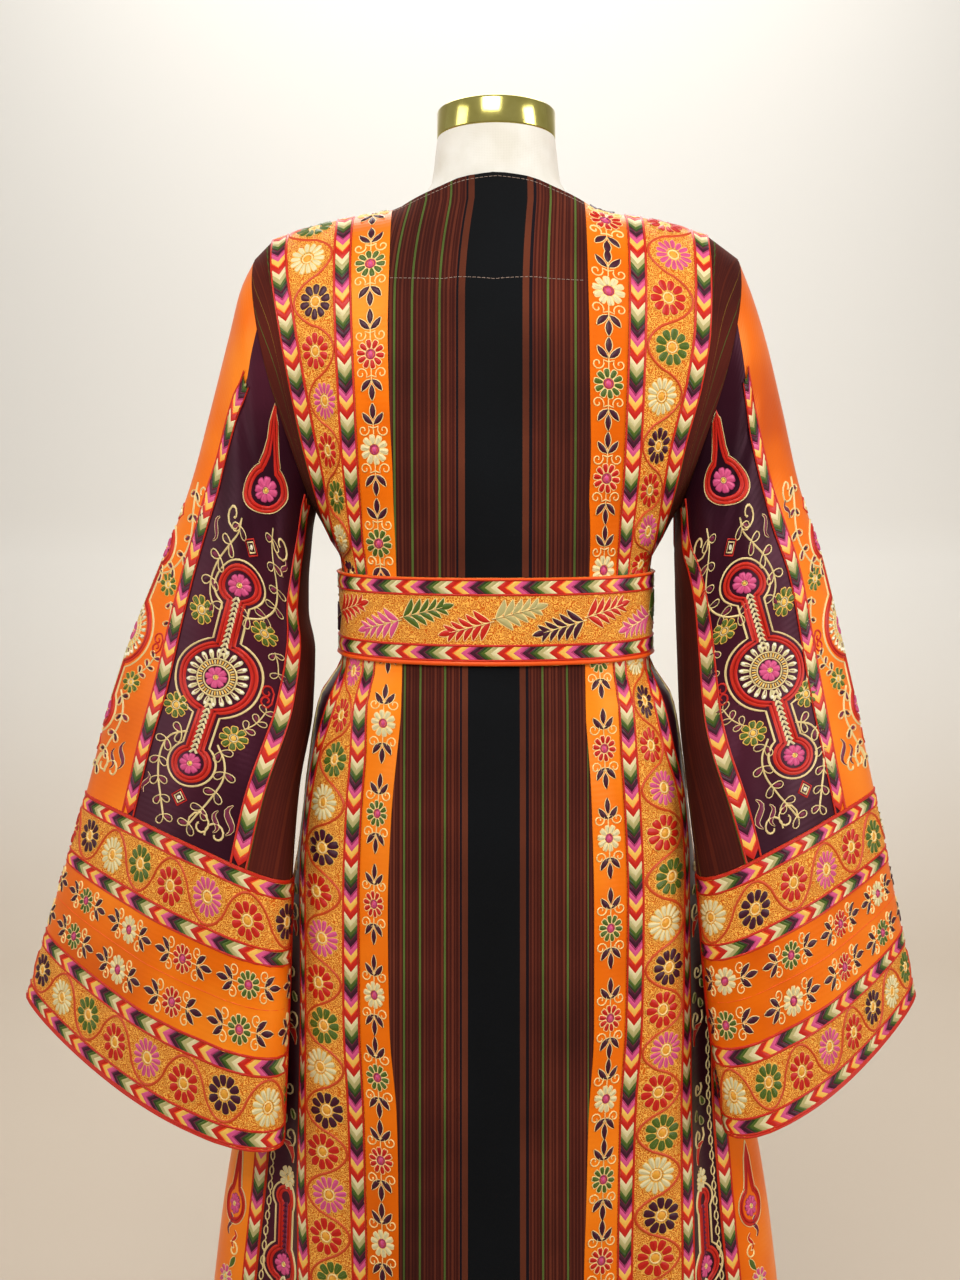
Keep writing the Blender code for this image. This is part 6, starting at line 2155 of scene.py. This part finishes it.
# %% [markdown]
# ## Running stitches on the back
# A line of running stitch follows the neck 8 mm in, and another crosses the back below it, where
# a facing would be caught. They are plain thread, stitch by stitch.

# %% Running stitches
STITCH, STITCH_GAP = 0.0030, 0.0012


def running_stitch(length):
    """A row of stitches with gaps between them."""
    made = Motif()
    for start in np.arange(0.0, length - STITCH, STITCH + STITCH_GAP):
        made.line([(start, 0.0), (start + STITCH, 0.0)], 0.0005, 0.0005, "tacking", 0.0002)
    return made


work = Needlework("back_panel")
cut = work.cut
BACK_STITCH = (           # share of the width, distance along
    (0.0, 1.3540), (0.28, 1.3395), (0.53, 1.3335), (0.78, 1.3390), (1.0, 1.3473),
)
for rows in (((0.0, cut.length - 0.0080), (1.0, cut.length - 0.0080)), BACK_STITCH):
    shares, alongs = np.array(rows).T
    wide = float(cut.width_at(alongs.mean()))
    work.sew(running_stitch(wide * 0.99),
             lambda x, y: (np.interp(x / wide, shares, alongs) + y, 0.004 + x / wide))
work.finish("striped_cloth", "back_panel_stitches")

# %% [markdown]
# ## Sizes of the cut pieces
# Each cut piece's flat size, the size it was cut to before it was hung, is printed: its width,
# length and area, and the share of its rectangle that the area fills. A declared area may not be
# under 0.3 of its rectangle: the two side panels, which run up thin round the armhole, have less
# by the sum of their rows, so theirs is stated at that floor and the sum is printed.

# %% Sizes of the cut pieces
for name, cut in cuts.items():
    area = float((np.diff(cut.along) * (cut.width[1:] + cut.width[:-1]) / 2).sum())
    width, length = round(float(cut.width.max()), 3), round(cut.length, 3)
    share = area / (width * length)
    print(f"{name}: {width} x {length} m, {area:.4f} m2, {share:.2f} of its rectangle")

# %% [markdown]
# ## Room and light
# A pale floor that curves up into a pale wall, whose paint is darkened towards the floor as
# painted shade; a soft light above the camera, one from each side, a strong one that lights the
# floor and the wall behind the dress, and a pale sky.

# %% Floor, wall and lamps
made = Finish("pale_paint")
place = made.place()
# Painted shade: the paint darkens from 0.9 m up the wall down to the floor, so the room is dimmer
# low down.
height = made.node("SeparateXYZ", Vector=place).outputs["Z"]
height = made.math("MULTIPLY_ADD", made.noise(1.5, 2.0, place), 0.05, height)
PAINT = made.shade(Base_Color=made.ramp(height, ((0.0, "#BDAE9C"), (0.9, "#F4F1EA"))),
                   Roughness=0.9)
SWEEP_RADIUS, SWEEP_WIDTH, SWEEP_FRONT, SWEEP_BACK, SWEEP_HEIGHT = 1.0, 14.0, -6.0, 3.2, 7.0
bend = np.linspace(0.0, math.pi / 2, 17)
profile = np.concatenate([[(SWEEP_FRONT, 0.0)],
                          np.stack([SWEEP_BACK - SWEEP_RADIUS + SWEEP_RADIUS * np.sin(bend),
                                    SWEEP_RADIUS - SWEEP_RADIUS * np.cos(bend)], axis=-1),
                          [(SWEEP_BACK, SWEEP_HEIGHT)]])
points = np.stack([np.stack([np.full(len(profile), x), profile[:, 0], profile[:, 1]], axis=-1)
                   for x in (-SWEEP_WIDTH / 2, SWEEP_WIDTH / 2)], axis=1)
sweep = new_mesh("floor_and_wall", points.reshape(-1, 3), grid_faces(len(profile), 2, False),
                 [PAINT])


def soft_light(name, at, towards, size, watts, spread=180):
    """An area lamp that looks at a point; spread is the width of its beam in degrees."""
    lamp = bpy.data.lights.new(name, "AREA")
    lamp.shape, lamp.size, lamp.size_y = "RECTANGLE", size[0], size[1]
    lamp.energy = watts
    lamp.spread = math.radians(spread)
    made = bpy.data.objects.new(name, lamp)
    made.location = at
    made.rotation_euler = (Vector(towards) - Vector(at)).to_track_quat("-Z", "Y").to_euler()
    bpy.context.scene.collection.objects.link(made)
    return made


soft_light("key", (-0.5, -2.6, 3.2), (0.0, 0.0, 1.50), (1.8, 1.2), 9, 50)
soft_light("left_fill", (-2.8, -1.0, 2.0), (0.0, 0.0, 1.35), (1.2, 1.6), 8, 100)
soft_light("right_fill", (2.8, -1.2, 2.0), (0.0, 0.0, 1.35), (1.2, 1.6), 17, 100)
soft_light("behind", (0.0, 2.2, 3.4), (0.0, 1.0, 0.6), (2.6, 1.6), 74)
world = bpy.data.worlds.new("pale_sky")
bpy.context.scene.world = world
world.use_nodes = True
world.node_tree.nodes["Background"].inputs["Color"].default_value = linear("#ECECEA")
world.node_tree.nodes["Background"].inputs["Strength"].default_value = 0.50

bpy.context.scene.view_settings.view_transform = "Standard"
